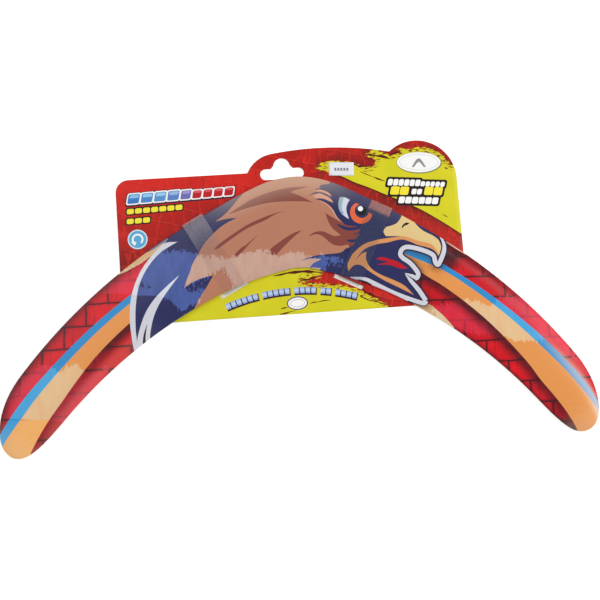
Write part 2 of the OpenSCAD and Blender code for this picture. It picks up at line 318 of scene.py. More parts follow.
class Skin:
    """A mesh gathered from vertices and faces, each face with an ink and a material number."""

    def __init__(self):
        self.points, self.plan, self.faces, self.inks, self.kinds = [], [], [], [], []
        self.count = 0

    def add_points(self, flat, z, plan):
        """Vertices at places of the frame's floor plan and at one height, or at one height for each."""
        self.points.append(np.column_stack([flat, np.broadcast_to(z, (len(flat),))]))
        self.plan.append(np.asarray(plan, float))
        self.count += len(flat)
        return np.arange(self.count - len(flat), self.count)

    def add_faces(self, faces, inks, kind=0):
        faces = [tuple(int(i) for i in f) for f in faces]
        self.faces.extend(faces)
        each = inks if len(inks) == len(faces) else [inks[0]] * len(faces)
        self.inks.extend(tuple(ink) for ink in each)
        self.kinds.extend([kind] * len(faces))

    def bridge(self, low, high, inks, kind=0):
        """Faces between two closed rings of equal length; low runs with the sheet on its left."""
        n = len(low)
        after = [(i + 1) % n for i in range(n)]
        self.add_faces([(low[i], high[i], high[j], low[j]) for i, j in enumerate(after)], inks, kind)

    def build(self, name, materials, fields=None):
        points, plan = np.vstack(self.points), np.vstack(self.plan)
        mesh = bpy.data.meshes.new(name)
        mesh.from_pydata((points * MM).tolist(), [], self.faces)
        for material in materials:
            mesh.materials.append(material)
        mesh.polygons.foreach_set("material_index", self.kinds)
        ink = mesh.attributes.new("ink", "FLOAT_COLOR", "CORNER")
        sizes = [len(f) for f in self.faces]
        ink.data.foreach_set("color", np.repeat(np.array(self.inks, np.float32), sizes, axis=0).ravel())
        flat = mesh.attributes.new("plan", "FLOAT_VECTOR", "POINT")
        flat.data.foreach_set("vector", np.column_stack([plan, points[:, 2]]).astype(np.float32).ravel())
        for key, values in (fields or {}).items():
            field = mesh.attributes.new(key, "FLOAT", "POINT")
            field.data.foreach_set("value", np.asarray(values(plan), np.float32))
        mesh.polygons.foreach_set("use_smooth", [True] * len(self.faces))
        mesh.validate()
        mesh.update()
        piece = bpy.data.objects.new(name, mesh)
        bpy.context.scene.collection.objects.link(piece)
        return piece


# ---- node materials ----
class Nodes:
    """Short calls for building one node material."""

    def __init__(self, name):
        self.material = bpy.data.materials.new(name)
        self.material.use_nodes = True
        self.tree = self.material.node_tree
        self.shader = self.tree.nodes["Principled BSDF"]

    def put(self, socket, value):
        if isinstance(value, bpy.types.NodeSocket):
            self.tree.links.new(value, socket)
        elif value is not None:
            socket.default_value = value

    def set(self, **values):
        for name, value in values.items():
            self.put(self.shader.inputs[name.replace("_", " ")], value)

    def read(self, name, output="Fac"):
        node = self.tree.nodes.new("ShaderNodeAttribute")
        node.attribute_name = name
        return node.outputs[output]

    def math(self, how, a, b=None, c=None):
        node = self.tree.nodes.new("ShaderNodeMath")
        node.operation = how
        for socket, value in zip(node.inputs, (a, b, c)):
            self.put(socket, value)
        return node.outputs[0]

    def times(self, a, b):
        return self.math("MULTIPLY", a, b)

    def noise(self, vector, scale, detail=3.0, rough=0.55, output="Fac"):
        node = self.tree.nodes.new("ShaderNodeTexNoise")
        self.put(node.inputs["Vector"], vector)
        self.put(node.inputs["Scale"], scale)
        self.put(node.inputs["Detail"], detail)
        self.put(node.inputs["Roughness"], rough)
        return node.outputs[output]

    def mix(self, share, a, b, how="MIX"):
        node = self.tree.nodes.new("ShaderNodeMix")
        node.data_type, node.blend_type = "RGBA", how
        self.put(node.inputs[0], share)
        self.put(node.inputs[6], a)
        self.put(node.inputs[7], b)
        return node.outputs[2]

    def over(self, colour, hexed, share, how="MIX"):
        """The colour with a share of a web colour laid over it."""
        return self.mix(share, colour, paint(hexed), how)

    def ramp(self, value, low, high, start=0.0, end=1.0, how="SMOOTHSTEP"):
        node = self.tree.nodes.new("ShaderNodeMapRange")
        node.interpolation_type = how
        for socket, v in zip(node.inputs, (value, low, high, start, end)):
            self.put(socket, v)
        return node.outputs[0]

    def moved(self, vector, scale=(1, 1, 1), turn=0.0, shift=(0, 0, 0)):
        node = self.tree.nodes.new("ShaderNodeMapping")
        self.put(node.inputs["Vector"], vector)
        node.inputs["Location"].default_value = shift
        node.inputs["Rotation"].default_value = (0, 0, math.radians(turn))
        node.inputs["Scale"].default_value = scale
        return node.outputs[0]

    def streaks(self, vector, scale, turn, *noise):
        """A noise that is stretched by a scale and turned."""
        return self.noise(self.moved(vector, scale, turn), *noise)

    def spot(self):
        return self.tree.nodes.new("ShaderNodeTexCoord").outputs["Object"]

    def bricks(self, vector, width, height, mortar, soft):
        """A brick wall's colour, which differs from brick to brick, and its mortar lines."""
        node = self.tree.nodes.new("ShaderNodeTexBrick")
        node.offset = 0.5
        self.put(node.inputs["Vector"], vector)
        for key, value in (("Color1", (0, 0, 0, 1)), ("Color2", (1, 1, 1, 1)), ("Mortar", (0.5, 0.5, 0.5, 1)),
                           ("Scale", 1.0), ("Mortar Size", mortar), ("Mortar Smooth", soft),
                           ("Brick Width", width), ("Row Height", height)):
            node.inputs[key].default_value = value
        return node.outputs["Color"], node.outputs["Fac"]

    def bump(self, height, strength, distance, below=None):
        node = self.tree.nodes.new("ShaderNodeBump")
        self.put(node.inputs["Strength"], strength)
        self.put(node.inputs["Distance"], distance)
        self.put(node.inputs["Height"], height)
        if below is not None:
            self.put(node.inputs["Normal"], below)
        return node.outputs[0]

    def added(self, vector, noise, amount):
        """The vector pushed about by a colour noise."""
        node = self.tree.nodes.new("ShaderNodeVectorMath")
        node.operation = "MULTIPLY_ADD"
        self.put(node.inputs[0], noise)
        node.inputs[1].default_value = (amount, amount, amount)
        self.put(node.inputs[2], vector)
        return node.outputs[0]


def film_print():
    """Glossy printed film: flat inks over a comic brick wall, with patches of painted reflection, painted shade
    and sheen, and fine grain.
    """
    n = Nodes("film_print")
    plan = n.read("plan", "Vector")
    wall = n.added(n.read("wall", "Vector"), n.noise(plan, 0.09, 3, output="Color"), 1.8)
    tone, joint = n.bricks(wall, *BRICK, 0.8, 0.7)
    _, soft_joint = n.bricks(wall, *BRICK, 2.6, 1.0)
    # A second thin line beside each joint gives the bricks their drawn thickness.
    _, second = n.bricks(n.moved(wall, shift=(-6, 0, 0)), *BRICK, 0.35, 0.6)
    hatch = n.streaks(plan, (0.9, 0.16, 1), 24, 0.55, 2)
    bricks = n.mix(n.ramp(n.noise(plan, 0.05, 4), 0.35, 0.7), paint("#cc0d1c"), paint("#e4141f"))
    bricks = n.over(bricks, "#a8142a", n.times(n.ramp(tone, 0.2, 0.9), 0.25))
    bricks = n.over(bricks, "#7d1024", n.ramp(hatch, 0.66, 0.72, 0, 0.45))
    bricks = n.over(bricks, "#7c0c1c", n.times(soft_joint, 0.45))
    bricks = n.over(bricks, "#76101f", n.times(second, 0.6))
    bricks = n.over(bricks, "#3c0a18", n.times(joint, 0.95))
    # Painted reflection: the drawn field says how deep in a reflection patch a point is, and noise makes its
    # rim ragged.
    spikes = n.math("SUBTRACT", n.streaks(plan, (1, 0.42, 1), 0, 0.62, 5, 0.62), 0.5)
    within = n.math("ADD", n.times(spikes, n.read("ragged")), n.read("painted_reflection"))
    reflection_streaks = n.ramp(n.streaks(plan, (0.25, 0.05, 1), -30, 0.8, 3), 0.3, 0.7, 0.72, 0.95)
    painted_reflection = n.times(n.ramp(within, -0.15, 0.15, 0, 1, "LINEAR"), reflection_streaks)
    bricks = n.over(bricks, "#e2344e", n.times(painted_reflection, 0.7))
    patchy = n.ramp(n.noise(plan, 0.16, 4), 0.25, 0.6, 0.8, 1.0)
    bricks = n.over(bricks, "#3c1019", n.times(n.read("shade"), patchy))
    # The inks turn paler under the painted reflection.
    inks = n.mix(painted_reflection, n.read("ink", "Color"), n.read("reflected_ink", "Color"))
    colour = n.mix(n.read("ink", "Alpha"), bricks, inks)
    colour = n.over(colour, "#2c141c", n.times(n.read("halo"), 0.6))
    # Painted sheen: the print is lightened to cream where the pale field says.
    colour = n.over(colour, "#f9e9d2", n.read("pale"))
    colour = n.over(colour, "#2a2330", n.ramp(n.noise(plan, 5.0, 2, 0.7), 0.3, 0.7, 0, 0.10), "MULTIPLY")
    colour = n.over(colour, "#fff4e8", n.ramp(n.noise(plan, 1.7, 2), 0.72, 0.8, 0, 0.10), "SCREEN")
    wear = n.streaks(plan, (0.3, 1, 1), 37, 0.35, 6, 0.7)
    n.set(Base_Color=colour, Roughness=n.ramp(wear, 0.3, 0.75, 0.22, 0.36),
          Normal=n.bump(n.noise(plan, 0.16, 2, 0.5), 0.05, 0.0006))
    n.set(Coat_Weight=0.1, Coat_Roughness=0.14, Specular_IOR_Level=0.16)
    return n.material


def card_print():
    """Printed card: red comic bricks, lime paint splashes with ragged rims, flat inks and fibre grain."""
    n = Nodes("card_print")
    plan = n.read("plan", "Vector")
    wall = n.added(n.moved(plan, turn=14), n.noise(plan, 0.05, 3, output="Color"), 5)
    tone, joint = n.bricks(wall, *CARD_BRICK, 0.35, 0.6)
    _, edge = n.bricks(n.moved(wall, shift=(1.2, 0.9, 0)), *CARD_BRICK, 0.3, 0.5)
    stains = n.streaks(plan, (0.5, 0.18, 1), 62, 0.45, 3)
    patchy = n.ramp(n.noise(plan, 0.14, 4), 0.2, 0.7, 0.7, 1.0)
    veins = n.math("ABSOLUTE", n.math("SUBTRACT", n.streaks(plan, (1, 0.5, 1), 30, 0.08, 2, 0.5), 0.5))
    red = n.mix(n.ramp(tone, 0.1, 0.9), paint("#c4221a"), paint("#b01a14"))
    red = n.over(red, "#9c2217", n.ramp(stains, 0.55, 0.7, 0, 0.55))
    red = n.over(red, "#e03a2c", n.times(joint, 0.55))
    red = n.over(red, "#7d160f", n.times(edge, 0.5))
    red = n.over(red, "#521610", n.times(n.read("shade"), patchy))
    red = n.over(red, "#ee2418", n.read("sun"))
    red = n.over(red, "#e02c20", n.ramp(veins, 0.004, 0.028, 0.42, 0))
    # Lime paint: the drawn field says how deep in the paint a point is, and noise makes its rim ragged.
    rough = n.math("SUBTRACT", n.streaks(plan, (0.35, 1.0, 1), 28, 0.5, 6, 0.68), 0.5)
    lime = n.math("ADD", n.read("lime"), n.times(rough, n.read("ragged")))
    near_rim = n.ramp(n.math("ABSOLUTE", n.math("SUBTRACT", lime, 1.2)), 1.4, 3.2, 1, 0)
    bits = n.ramp(n.streaks(plan, (0.28, 1.1, 1), 28, 0.9, 4, 0.6), 0.53, 0.58)
    dashes = n.times(n.times(near_rim, bits), n.ramp(n.read("ragged"), 2, 6))
    yellow = n.mix(n.ramp(n.noise(plan, 0.035, 3), 0.3, 0.7), paint("#cfc91a"), paint("#d8d022"))
    colour = n.mix(n.ramp(lime, -0.12, 0.12, 0, 1, "LINEAR"), red, yellow)
    colour = n.over(colour, "#6a1a10", dashes)
    colour = n.mix(n.read("ink", "Alpha"), colour, n.read("ink", "Color"))
    colour = n.over(colour, "#3a2a20", n.ramp(n.noise(plan, 4.0, 2, 0.7), 0.3, 0.7, 0, 0.10), "MULTIPLY")
    scuff = n.streaks(plan, (1, 0.2, 1), -20, 0.5, 6, 0.7)
    n.set(Base_Color=colour, Roughness=n.ramp(scuff, 0.3, 0.75, 0.34, 0.5),
          Normal=n.bump(n.noise(plan, 1.3, 5, 0.65), 0.12, 0.0006))
    n.set(Coat_Weight=0.05, Coat_Roughness=0.25, Specular_IOR_Level=0.15)
    return n.material


def board(name, light, dark, bump=0.35, printed=False):
    """Bare board or paper with fibres."""
    n = Nodes(name)
    fibres = n.streaks(n.spot(), (1, 0.3, 1), 15, 2600, 5, 0.65)
    clouds = n.noise(n.spot(), 90, 4)
    colour = n.mix(n.ramp(fibres, 0.35, 0.65), paint(dark), paint(light))
    colour = n.over(colour, dark, n.ramp(clouds, 0.3, 0.7, 0, 0.25))
    if printed:
        colour = n.mix(n.read("ink", "Alpha"), colour, n.read("ink", "Color"))
    n.set(Base_Color=colour, Roughness=n.ramp(clouds, 0.3, 0.7, 0.62, 0.8),
          Normal=n.bump(fibres, bump, 0.0002))
    return n.material


def moulded_plastic():
    """Matte moulded plastic: fine spark texture, flow marks and light scuffs."""
    n = Nodes("moulded_plastic")
    flow = n.streaks(n.spot(), (0.2, 1, 1), 20, 45, 4, 0.5)
    scuffs = n.streaks(n.spot(), (0.08, 1, 1), -35, 420, 3, 0.7)
    colour = n.mix(n.ramp(flow, 0.3, 0.7), paint("#e4ded2"), paint("#ede8de"))
    colour = n.over(colour, "#c9c2b4", n.ramp(scuffs, 0.66, 0.72, 0, 0.35))
    fine = n.bump(n.noise(n.spot(), 2200, 3, 0.6), 0.25, 0.0001)
    n.set(Base_Color=colour, Roughness=n.ramp(flow, 0.3, 0.7, 0.42, 0.58),
          Normal=n.bump(scuffs, 0.1, 0.0002, fine))
    return n.material


def clear_film():
    """Clear strap film: a faint grey veil with brighter cut edges, haze, drawn ripples and a painted glare that
    tints it and makes it less clear.
    """
    n = Nodes("clear_film")
    plan = n.read("plan", "Vector")
    haze = n.streaks(plan, (1, 0.15, 1), 0, 0.5, 4, 0.6)
    ripples = n.streaks(plan, (1.4, 0.12, 1), 0, 0.3, 3)
    veil = n.times(n.ramp(haze, 0.25, 0.75, 0.8, 1.2), n.read("veil"))
    veil = n.math("ADD", veil, n.times(n.ramp(n.read("rim"), 0.93, 0.985), 0.02))
    # Painted glare: where the glare field is high, the film takes the glare's colour and hides more.
    n.set(Base_Color=n.mix(n.read("glare"), paint("#55606c"), n.read("ink", "Color")), Alpha=veil,
          Roughness=n.ramp(haze, 0.3, 0.7, 0.10, 0.22), Normal=n.bump(ripples, 0.08, 0.0005))
    n.set(Specular_IOR_Level=0.3)
    return n.material


def creased_film():
    """The straps' folded ends: the same clear film, hazy from its crease."""
    n = Nodes("creased_film")
    haze = n.streaks(n.spot(), (1, 0.3, 1), 27, 500, 4, 0.6)
    n.set(Base_Color=n.mix(haze, paint("#8c939b"), paint("#c4c0c2")), Alpha=n.ramp(haze, 0.3, 0.7, 0.16, 0.3),
          Roughness=n.ramp(haze, 0.3, 0.7, 0.12, 0.25), Normal=n.bump(haze, 0.1, 0.0003))
    n.set(Specular_IOR_Level=0.3)
    return n.material


def tape_film():
    """Packing tape: translucent pale film with a crinkled surface over its glue."""
    n = Nodes("tape_film")
    glue = n.noise(n.spot(), 160, 5, 0.6)
    lines = n.streaks(n.spot(), (1, 0.04, 1), 27, 900, 2)
    colour = n.mix(n.ramp(glue, 0.3, 0.7), paint("#e2dfd6"), paint("#f0eee8"))
    colour = n.over(colour, "#cfccc2", n.ramp(lines, 0.4, 0.6, 0, 0.3))
    n.set(Base_Color=colour, Alpha=n.ramp(glue, 0.3, 0.7, 0.45, 0.6),
          Roughness=n.ramp(glue, 0.3, 0.7, 0.16, 0.3),
          Normal=n.bump(glue, 0.2, 0.0005, n.bump(lines, 0.1, 0.0002)))
    return n.material


def new_material(node, material):
    """Gives a node of the CAD model another material."""
    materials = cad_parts[node].data.materials
    materials.clear()
    materials.append(material)


# ---- the blade's artwork, in the blade's own frame ----
NAVY, NAVY_DEEP, INK_BLACK = paint("#2a2c5a"), paint("#201f3c"), paint("#0d0b12")
BROWN, BROWN_DARK, PEACH = paint("#b67a60"), paint("#85433a"), paint("#d29a80")
CREAM, GAPE, BONE = paint("#dcbf84"), paint("#d8935a"), paint("#cfcfda")
SKY, ORANGE, TAN = paint("#2a8bc8"), paint("#e39550"), paint("#d2ab7c")
TONGUE, IRIS, TEAL_GREY = paint("#bb1226"), paint("#e0663c"), paint("#93b0b6")

# Stripes along each wing: the height across the blade at a few distances from the elbow
STRIPES = {
    -1: {"sky": [(86, 7), (120, 7.6), (150, 8.1), (200, 8.7), (222, 9.5), (240, 10.6), (255, 12),
                 (268.5, 14)],
         "border": [(86, 2.6), (135, 3.2), (200, 2.9), (236, 3.5), (250, 5), (262, 7), (268.5, 8.4)],
         "low": [(86, -6), (145, -7.6), (171, -8.6), (187, -9.8), (205, -11.5), (221, -12.8), (248, -13),
                 (268.5, -12)]},
    1: {"sky": [(80, 10), (90, 10.6), (99, 10.2), (112, 9.7), (128, 10), (151, 10.5), (173, 11.1),
                (195, 11.8), (222, 12.4), (246, 13.6), (268.5, 13.2)],
        "border": [(80, 2.6), (92, 3.6), (113, 5.9), (150, 6.1), (175, 6.2), (200, 6.3), (222, 7.2),
                   (240, 8.3), (258, 10.2), (268.5, 11)],
        "low": [(80, 2.4), (97, -3.4), (115, -3.9), (134, -4.6), (157, -5.8), (181, -7.6), (203, -9.3),
                (224, -11.2), (268.5, -9)]},
}


def stripe_line(side, name):
    knots = np.array(STRIPES[side][name], float)
    s = np.arange(knots[0, 0], WING_RUN, 2.0)
    line = run(knots, 2.0)
    return plan_point(side * s, np.interp(s, line[:, 0], line[:, 1]))


def stripe(side, upper, lower):
    return np.vstack([stripe_line(side, upper), stripe_line(side, lower)[::-1]])


def wedge(side, knots):
    """A strip between a line along the wing, through (distance, height across), and the edge beside it."""
    distances, heights = zip(*knots)
    s = np.linspace(distances[0], distances[-1], 24)
    past_edge = np.sign(heights[0]) * 40
    line = plan_point(side * s, np.interp(s, distances, heights))
    return np.vstack([line, plan_point(side * s, np.full_like(s, past_edge))[::-1]])


KEYLINE = [(103.3, 43), (105.3, 38.5), (105, 32), (100.5, 22.5), (98.2, 24), (96.5, 29.5), (88, 33.6),
           (79, 35.8), (74.6, 34.6), (72.8, 31), (74.5, 28), (80, 23.8), (85, 17), (84.6, 13.6), (82.8, 12.6)]
DARK_EXTRA = 1.1  # how much wider than the white keyline the dark line below it is
CHIN = [(76, 16), (80, 11), (85.5, 4), (90.3, -3.6)]
JAW = [(90.3, -3.6), (88.6, -5.4), (78.5, -1.8), (66, 3.6), (53, 10.6), (46.5, 13.8), (36, 15.4)]

# Stretches that two feather shapes share: the feather tips behind the eye, and the line round the eye
FINGERS = [[(43.3, 47.8)], [(37.8, 46.3)], [(42.3, 46.8), (43.8, 46.1)], [(41.4, 43.8), (39.9, 42.6)],
           [(33.5, 42.7)], [(36.1, 40.9), (40.1, 40.4)], [(38.2, 38.3), (36, 37)]]
EYE_RIM = [[(33.5, 53.7), (36.9, 52.7), (43, 51.7)], [(35.9, 51.6), (32.2, 52.8), (29.1, 53.9), (27.1, 54.4)],
           [(29.6, 51.9), (32.1, 50.3), (35.8, 49.2), (40.3, 49.4), (44.2, 50.2)]]


def head_shapes():
    """The bird's head and neck, from the bottom layer up."""
    neck_rim = [(-97.2, 44), (-107.9, 33.6), (-115.6, 21.8), (-120.8, 7), (-122.2, -8.8), (-121.1, -22.7)]
    head = shape(neck_rim + [(-119, -60)], [(36, -10)], [(36, 15)],
                 [(53, 10), (66, 3), (78.5, -2.4), (89, -6.2)], [(91.5, -3.4), (86, 6), (79.5, 14.6)],
                 [(83.4, 11.4), (86.6, 15.5), (81, 25), (74.5, 30.5)],
                 [(75, 34), (79.5, 35), (88, 32.6), (96, 28.5), (97.5, 23), (100.5, 20.8)],
                 [(103.5, 23.5), (107.5, 33), (105.5, 41)], [(96, 60)], [(20, 110)], [(-50, 105)],
                 [(-92, 50)])
    yield head, NAVY
    # Neck feathers
    yield shape(neck_rim + [(-119.4, -36)],
                [(-117.4, -30), (-118.2, -17), (-117.9, -1), (-115.4, 13.9), (-109.6, 26.4), (-100.2, 37.4),
                 (-87.5, 45.2)]), BONE
    yield shape([(-96, 13), (-105, 4), (-112, -7), (-117.2, -23), (-117.8, -34)], [(-108.8, -30)],
                [(-108.5, -21), (-105, -7), (-98.3, 5.5), (-86.5, 21)]), BONE
    yield shape([(-113.2, -22), (-114.6, -34)], [(-112.4, -34)], [(-111.6, -22), (-110, -12.5)]), INK_BLACK
    # Brown feathers over the crown and cheek
    yield shape([(-81.4, 17.7), (-79.2, 22.6), (-77.1, 28.6), (-72.9, 35.5), (-68.7, 42.5), (-62.5, 49.4),
                 (-54.2, 56.3), (-44.5, 61.1)], [(-52, 60.6), (-60, 59)],
                [(-52, 65), (-44, 74), (-34, 86), (-20, 112)], [(24, 110)], [(23.8, 84.3)],
                [(19.7, 84), (17.1, 83.3), (15.8, 82.1)], [(17.6, 81.4)], [(14.5, 81), (12.7, 80)],
                [(15.4, 80.1), (18.2, 79.6), (20.7, 78.6), (23.2, 77), (24.8, 74.2)],
                [(21.2, 76.4), (18.1, 77.6), (15.3, 78.1), (12.1, 77.9), (7.6, 75.6)],
                [(11.1, 76.7), (14.3, 77.1), (17.5, 76.8), (20.6, 75.3), (23, 73.8), (24.8, 71.8),
                 (25.5, 69.8)], [(21.7, 71.7), (18.6, 73.1), (15.7, 73.5), (12.6, 73)],
                [(15.7, 72.1), (18.5, 71), (20.9, 69.5), (23.4, 67.4), (25.2, 64.8), (27.8, 59.6),
                 (31.1, 55.7)], *EYE_RIM, *FINGERS,
                [(33.2, 36.2), (30.5, 34), (26.8, 33.1), (17.1, 32.5), (10.4, 31.7), (3.7, 29.9),
                 (-0.4, 27.9)], [(2.6, 29), (5.9, 29.8), (11.1, 29.8), (15.5, 29.3)],
                [(12.5, 27.9), (9.5, 26.5), (6.8, 23.7)], [(14.5, 22.9)], [(12, 8)], [(-60, -20)],
                [(-77.1, -3.5)], [(-73.9, 2.4), (-69.8, 8.3), (-66.1, 14.2), (-62.8, 19.7)],
                [(-67.4, 19), (-73.5, 17.2), (-78.5, 14.8), (-83.5, 11.5)]), BROWN
    # Pale upper edges of the brow feathers
    yield shape([(14.3, 77.1), (17.5, 76.8), (20.6, 75.3), (23, 73.8), (24.8, 71.8), (25.5, 69.8)],
                [(21.7, 71.7), (18.6, 73.1), (13.6, 73.6)], [(11, 75)]), PEACH
    yield shape([(15.4, 80.1), (18.2, 79.6), (20.7, 78.6), (23.2, 77), (24.8, 74.2)],
                [(21.2, 76.6), (18.1, 78.4), (13.4, 79)]), PEACH
    yield band([(15.7, 71.6), (20.7, 69), (24.8, 64.6), (27.2, 59.8), (30.2, 55.9)],
               [0.3, 0.7, 0.9, 0.7, 0.3]), PEACH
    for streak in (
            shape([(-42.5, 69.2), (-36.1, 73.1), (-29.1, 76.4), (-21.6, 78.8), (-13, 81), (-4.4, 82.2),
                   (8.9, 82.6)], [(4.1, 81.4), (-1.3, 80.2), (-5.6, 78.7)],
                  [(-1.4, 77.2), (3.8, 74.7), (11.3, 70.1)],
                  [(6.3, 71.4), (-8, 72), (-22.9, 71.1), (-36.8, 68), (-50.6, 63.8)]),
            shape([(-10.4, 65.1), (-21.1, 62.2), (-36.1, 56.2), (-47.9, 49.1), (-57.6, 42.5), (-62, 38.4)],
                  [(-58.2, 39.3), (-48.6, 45.9), (-37.3, 53), (-24.4, 58.5), (-18, 62.1), (-10.4, 65.1)]),
            shape([(-34.5, 44.4), (-38.8, 40.9), (-41.5, 39.4), (-45.2, 36.3), (-49.1, 31.6)],
                  [(-45.9, 32.1)], [(-42.7, 35.1), (-38.9, 38.7), (-35.6, 42.4), (-29.6, 48)]),
            shape([(-3.7, 48.8), (-10.2, 45.3), (-15.6, 41.7), (-19.9, 38.7), (-24.3, 34)], [(-17.5, 32.7)],
                  [(-13.7, 36.9), (-9.3, 41), (-4.9, 45.1), (2, 50.5)]),
            shape([(21.5, 61.1), (24.9, 59.1), (28, 57.1), (31.1, 55.4)], *EYE_RIM, *FINGERS, [(35, 39.2)],
                  [(31.5, 38.5), (27.8, 38.4), (24.8, 39.2), (21.9, 41), (17.7, 44.9), (15.2, 46.6),
                   (11.8, 47.3), (6.6, 46)],
                  [(8.5, 47.6), (11.2, 48.8), (14.2, 49.4), (17.5, 49.1), (22.9, 46.6), (25.9, 45.5), (30, 46)],
                  [(27.6, 48.2), (25.1, 50.2), (22.7, 53.4), (21, 57.3), (19.4, 62.9)])):
        yield streak, BROWN_DARK
    # Eye
    yield shape([(33.2, 74), (35.7, 73.1), (37.8, 71.8)],
                [(36.1, 69.3), (35, 66.1), (35, 62.9), (35.7, 60.4), (36.5, 57.6)],
                [(33.8, 59.5), (31.3, 61.8), (29.6, 64.7), (29.2, 67.6), (29.5, 70.7),
                 (30.5, 73.9)]), paint("#cfd3e4")
    yield shape([(33.8, 73.9)], [(32.7, 71.3), (31.7, 67.5), (31.8, 64.3), (33.5, 61.4)],
                [(31.3, 61.8), (29.6, 64.7), (29.2, 67.6), (29.5, 70.7), (30.5, 73.9)]), TEAL_GREY
    yield ellipse((45.6, 62.0), 8.1, 8.1), IRIS
    yield ellipse((46.1, 63.2), 5.1, 5.1), NAVY
    yield ellipse((46.2, 63.8), 3.7, 3.7), INK_BLACK
    yield shape([(44.5, 68.2), (45, 66.6), (48.2, 66.8), (50.3, 64)], [(52, 61.4), (55, 60.4)], [(58, 66)],
                [(46, 76)], [(40.2, 70.2)]), NAVY
    yield ellipse((45.2, 65.0), 1.9, 1.9), paint("#f2f2f4")
    # Beak
    yield shape([(38, 32.2), (46, 38.6), (55, 41.5), (64, 42.8), (74, 43.8)],
                [(86, 42), (96, 40), (101.4, 27)],
                [(98.8, 31.4), (95.6, 34), (91, 35.6), (86, 37), (80, 39.8), (75, 41.4), (70, 41),
                 (64, 39.6), (56, 38.6), (47.5, 35.6), (42.5, 31), (40.2, 27.6)], [(44, 31.6), (48.2, 33.6)],
                [(47.8, 28), (51, 21.6), (58, 16.6), (66.5, 12.7), (75, 8), (81.8, 0.8)],
                [(72, 6.2), (60, 12.6), (50, 19.2), (44, 23.8), (39, 24), (34.8, 20)],
                [(34.2, 25), (38, 32.2)]), GAPE
    yield shape([(71.6, 53.8), (67, 51.8), (63.3, 50.8), (61.2, 47.6), (62.8, 44.2)],
                [(71, 44), (78, 43.2), (86, 40.2), (95, 37.8), (98.8, 34), (101.6, 26.8)],
                [(103.2, 33), (102.2, 39.4), (98.5, 43.4), (88, 50), (78, 66)], [(75, 58)]), CREAM
    yield shape([(76.2, 52.6), (78.6, 54), (81, 53.4)], [(79.2, 52.2), (77, 51.4), (74.8, 49.4)],
                [(75, 51.2)]), INK_BLACK
    yield shape([(59, 29.2), (66, 27.2), (72, 24.6), (77.8, 20.2)], [(72.5, 20.4), (64, 23.4), (55.5, 23.6)],
                [(60, 24.8), (65, 25.4)], [(60, 26.6), (55, 28)]), TONGUE
    # White keyline round the beak and jaw, over a wider dark one
    for extra, ink in ((DARK_EXTRA, NAVY_DEEP), (0.0, BONE)):
        yield from ((line, ink) for line in beak_lines(extra))


TIP_HIGHLIGHT_LINE = -75.5  # below this height the left wing's stripes are painted brighter, a painted highlight on the tip


def wing_shapes():
    """The stripes along the wings and the patches at their roots, from the bottom layer up."""
    for side in (-1, 1):
        yield stripe(side, "sky", "border"), SKY
        yield stripe(side, "border", "low"), ORANGE
    # Painted highlight: brighter copies of the left tip's stripes below the highlight line
    for upper, lower, ink in (("sky", "border", "#3c9fd8"), ("border", "low", "#f2b066")):
        left = stripe(-1, upper, lower)
        yield dense(left[left[:, 1] < TIP_HIGHLIGHT_LINE]), paint(ink)
    yield wedge(-1, [(88, 24.6), (100, 22), (112, 21.8), (124, 23.4), (131, 25.6)]), TAN
    yield wedge(-1, [(88, 25.4), (100, 25.2), (110, 26.4)]), paint("#5d7f9a")
    yield wedge(1, [(104, -22), (116, -20.2), (128, -21.6), (140, -24), (146, -26)]), TAN
    yield wedge(1, [(98, 25.2), (112, 24.7), (128, 25.8)]), paint("#dba98f")


# Patches of painted reflection on the glossy film, as outlines in the blade's frame
REFLECTION_PATCHES = (
    # Left wing
    shape([(-180.4, -38), (-173.3, -43.2), (-167, -41), (-162.2, -39.7), (-158.3, -40.9)],
          [(-154.6, -45.9), (-156.6, -51.7)], [(-136, -40)], [(-150, -62), (-169.5, -79)], [(-196.9, -75.8)],
          [(-215, -74.8)], [(-209.4, -62), (-192.9, -43.3)]),
    # Beside the neck's rim
    shape([(-147.7, 12), (-130, 9.4)], [(-118.4, 8)], [(-109.9, 33)], [(-127.8, 24)]),
    # Right wing
    shape([(104, -7), (115.8, -4.2), (127, -5.5), (136.2, -9.6), (145, -3)], [(165, -2)], [(199.8, -50)],
          [(189.9, -46.9), (182, -36.4), (168.7, -35.9), (153.6, -35.3), (140.6, -30.2), (129.3, -29.7),
           (118.3, -27), (104, -25)], [(92, -8)]),
    # Neck and cheek
    shape([(-92, 38.5), (-80, 37.8), (-73, 35), (-58, 33), (-51, 31.8), (-38, 35.4), (-23, 36), (-17, 31.7),
           (-8.7, 34.5), (2.4, 34.7)], [(4.3, 31.6)], [(16, 29.6)], [(14, 16)], [(-45, 0)],
          [(-49.5, 5.5), (-48.7, 13.6), (-51.1, 16.7), (-55.3, 24.4), (-62.8, 20.5)], [(-83.5, 12.3)],
          [(-79.7, 8.6), (-73.7, 9.4)], [(-68.6, 13.2)], [(-70.8, 6.3), (-75, 0.9)], [(-82, -3)],
          [(-85, -5.7)], [(-89.8, -1), (-93.7, 2.6), (-100.5, 6.6)], [(-119, 7.5)], [(-117, 12)],
          [(-108.7, 13.1)], [(-116, 17)], [(-109, 31), (-102.6, 37.5)]),
    # Throat
    shape([(11.1, 29.8), (14.9, 32.7), (17.8, 31.5), (20.7, 29.9)], [(23, 31.7)], [(24.4, 29.8)],
          [(28.5, 31.1)], [(29.1, 27.8), (32.7, 25.8)], [(28.2, 23.7)],
          [(24.9, 25.3), (22.8, 26.5), (19.8, 25.1)], [(18.2, 20)], [(6.8, 20)], [(7.9, 25.1)]))


def reflection_field(plan):
    """Depth in the nearest patch of painted reflection, in millimetres."""
    return np.max([depth(plan, outline) for outline in REFLECTION_PATCHES], axis=0)


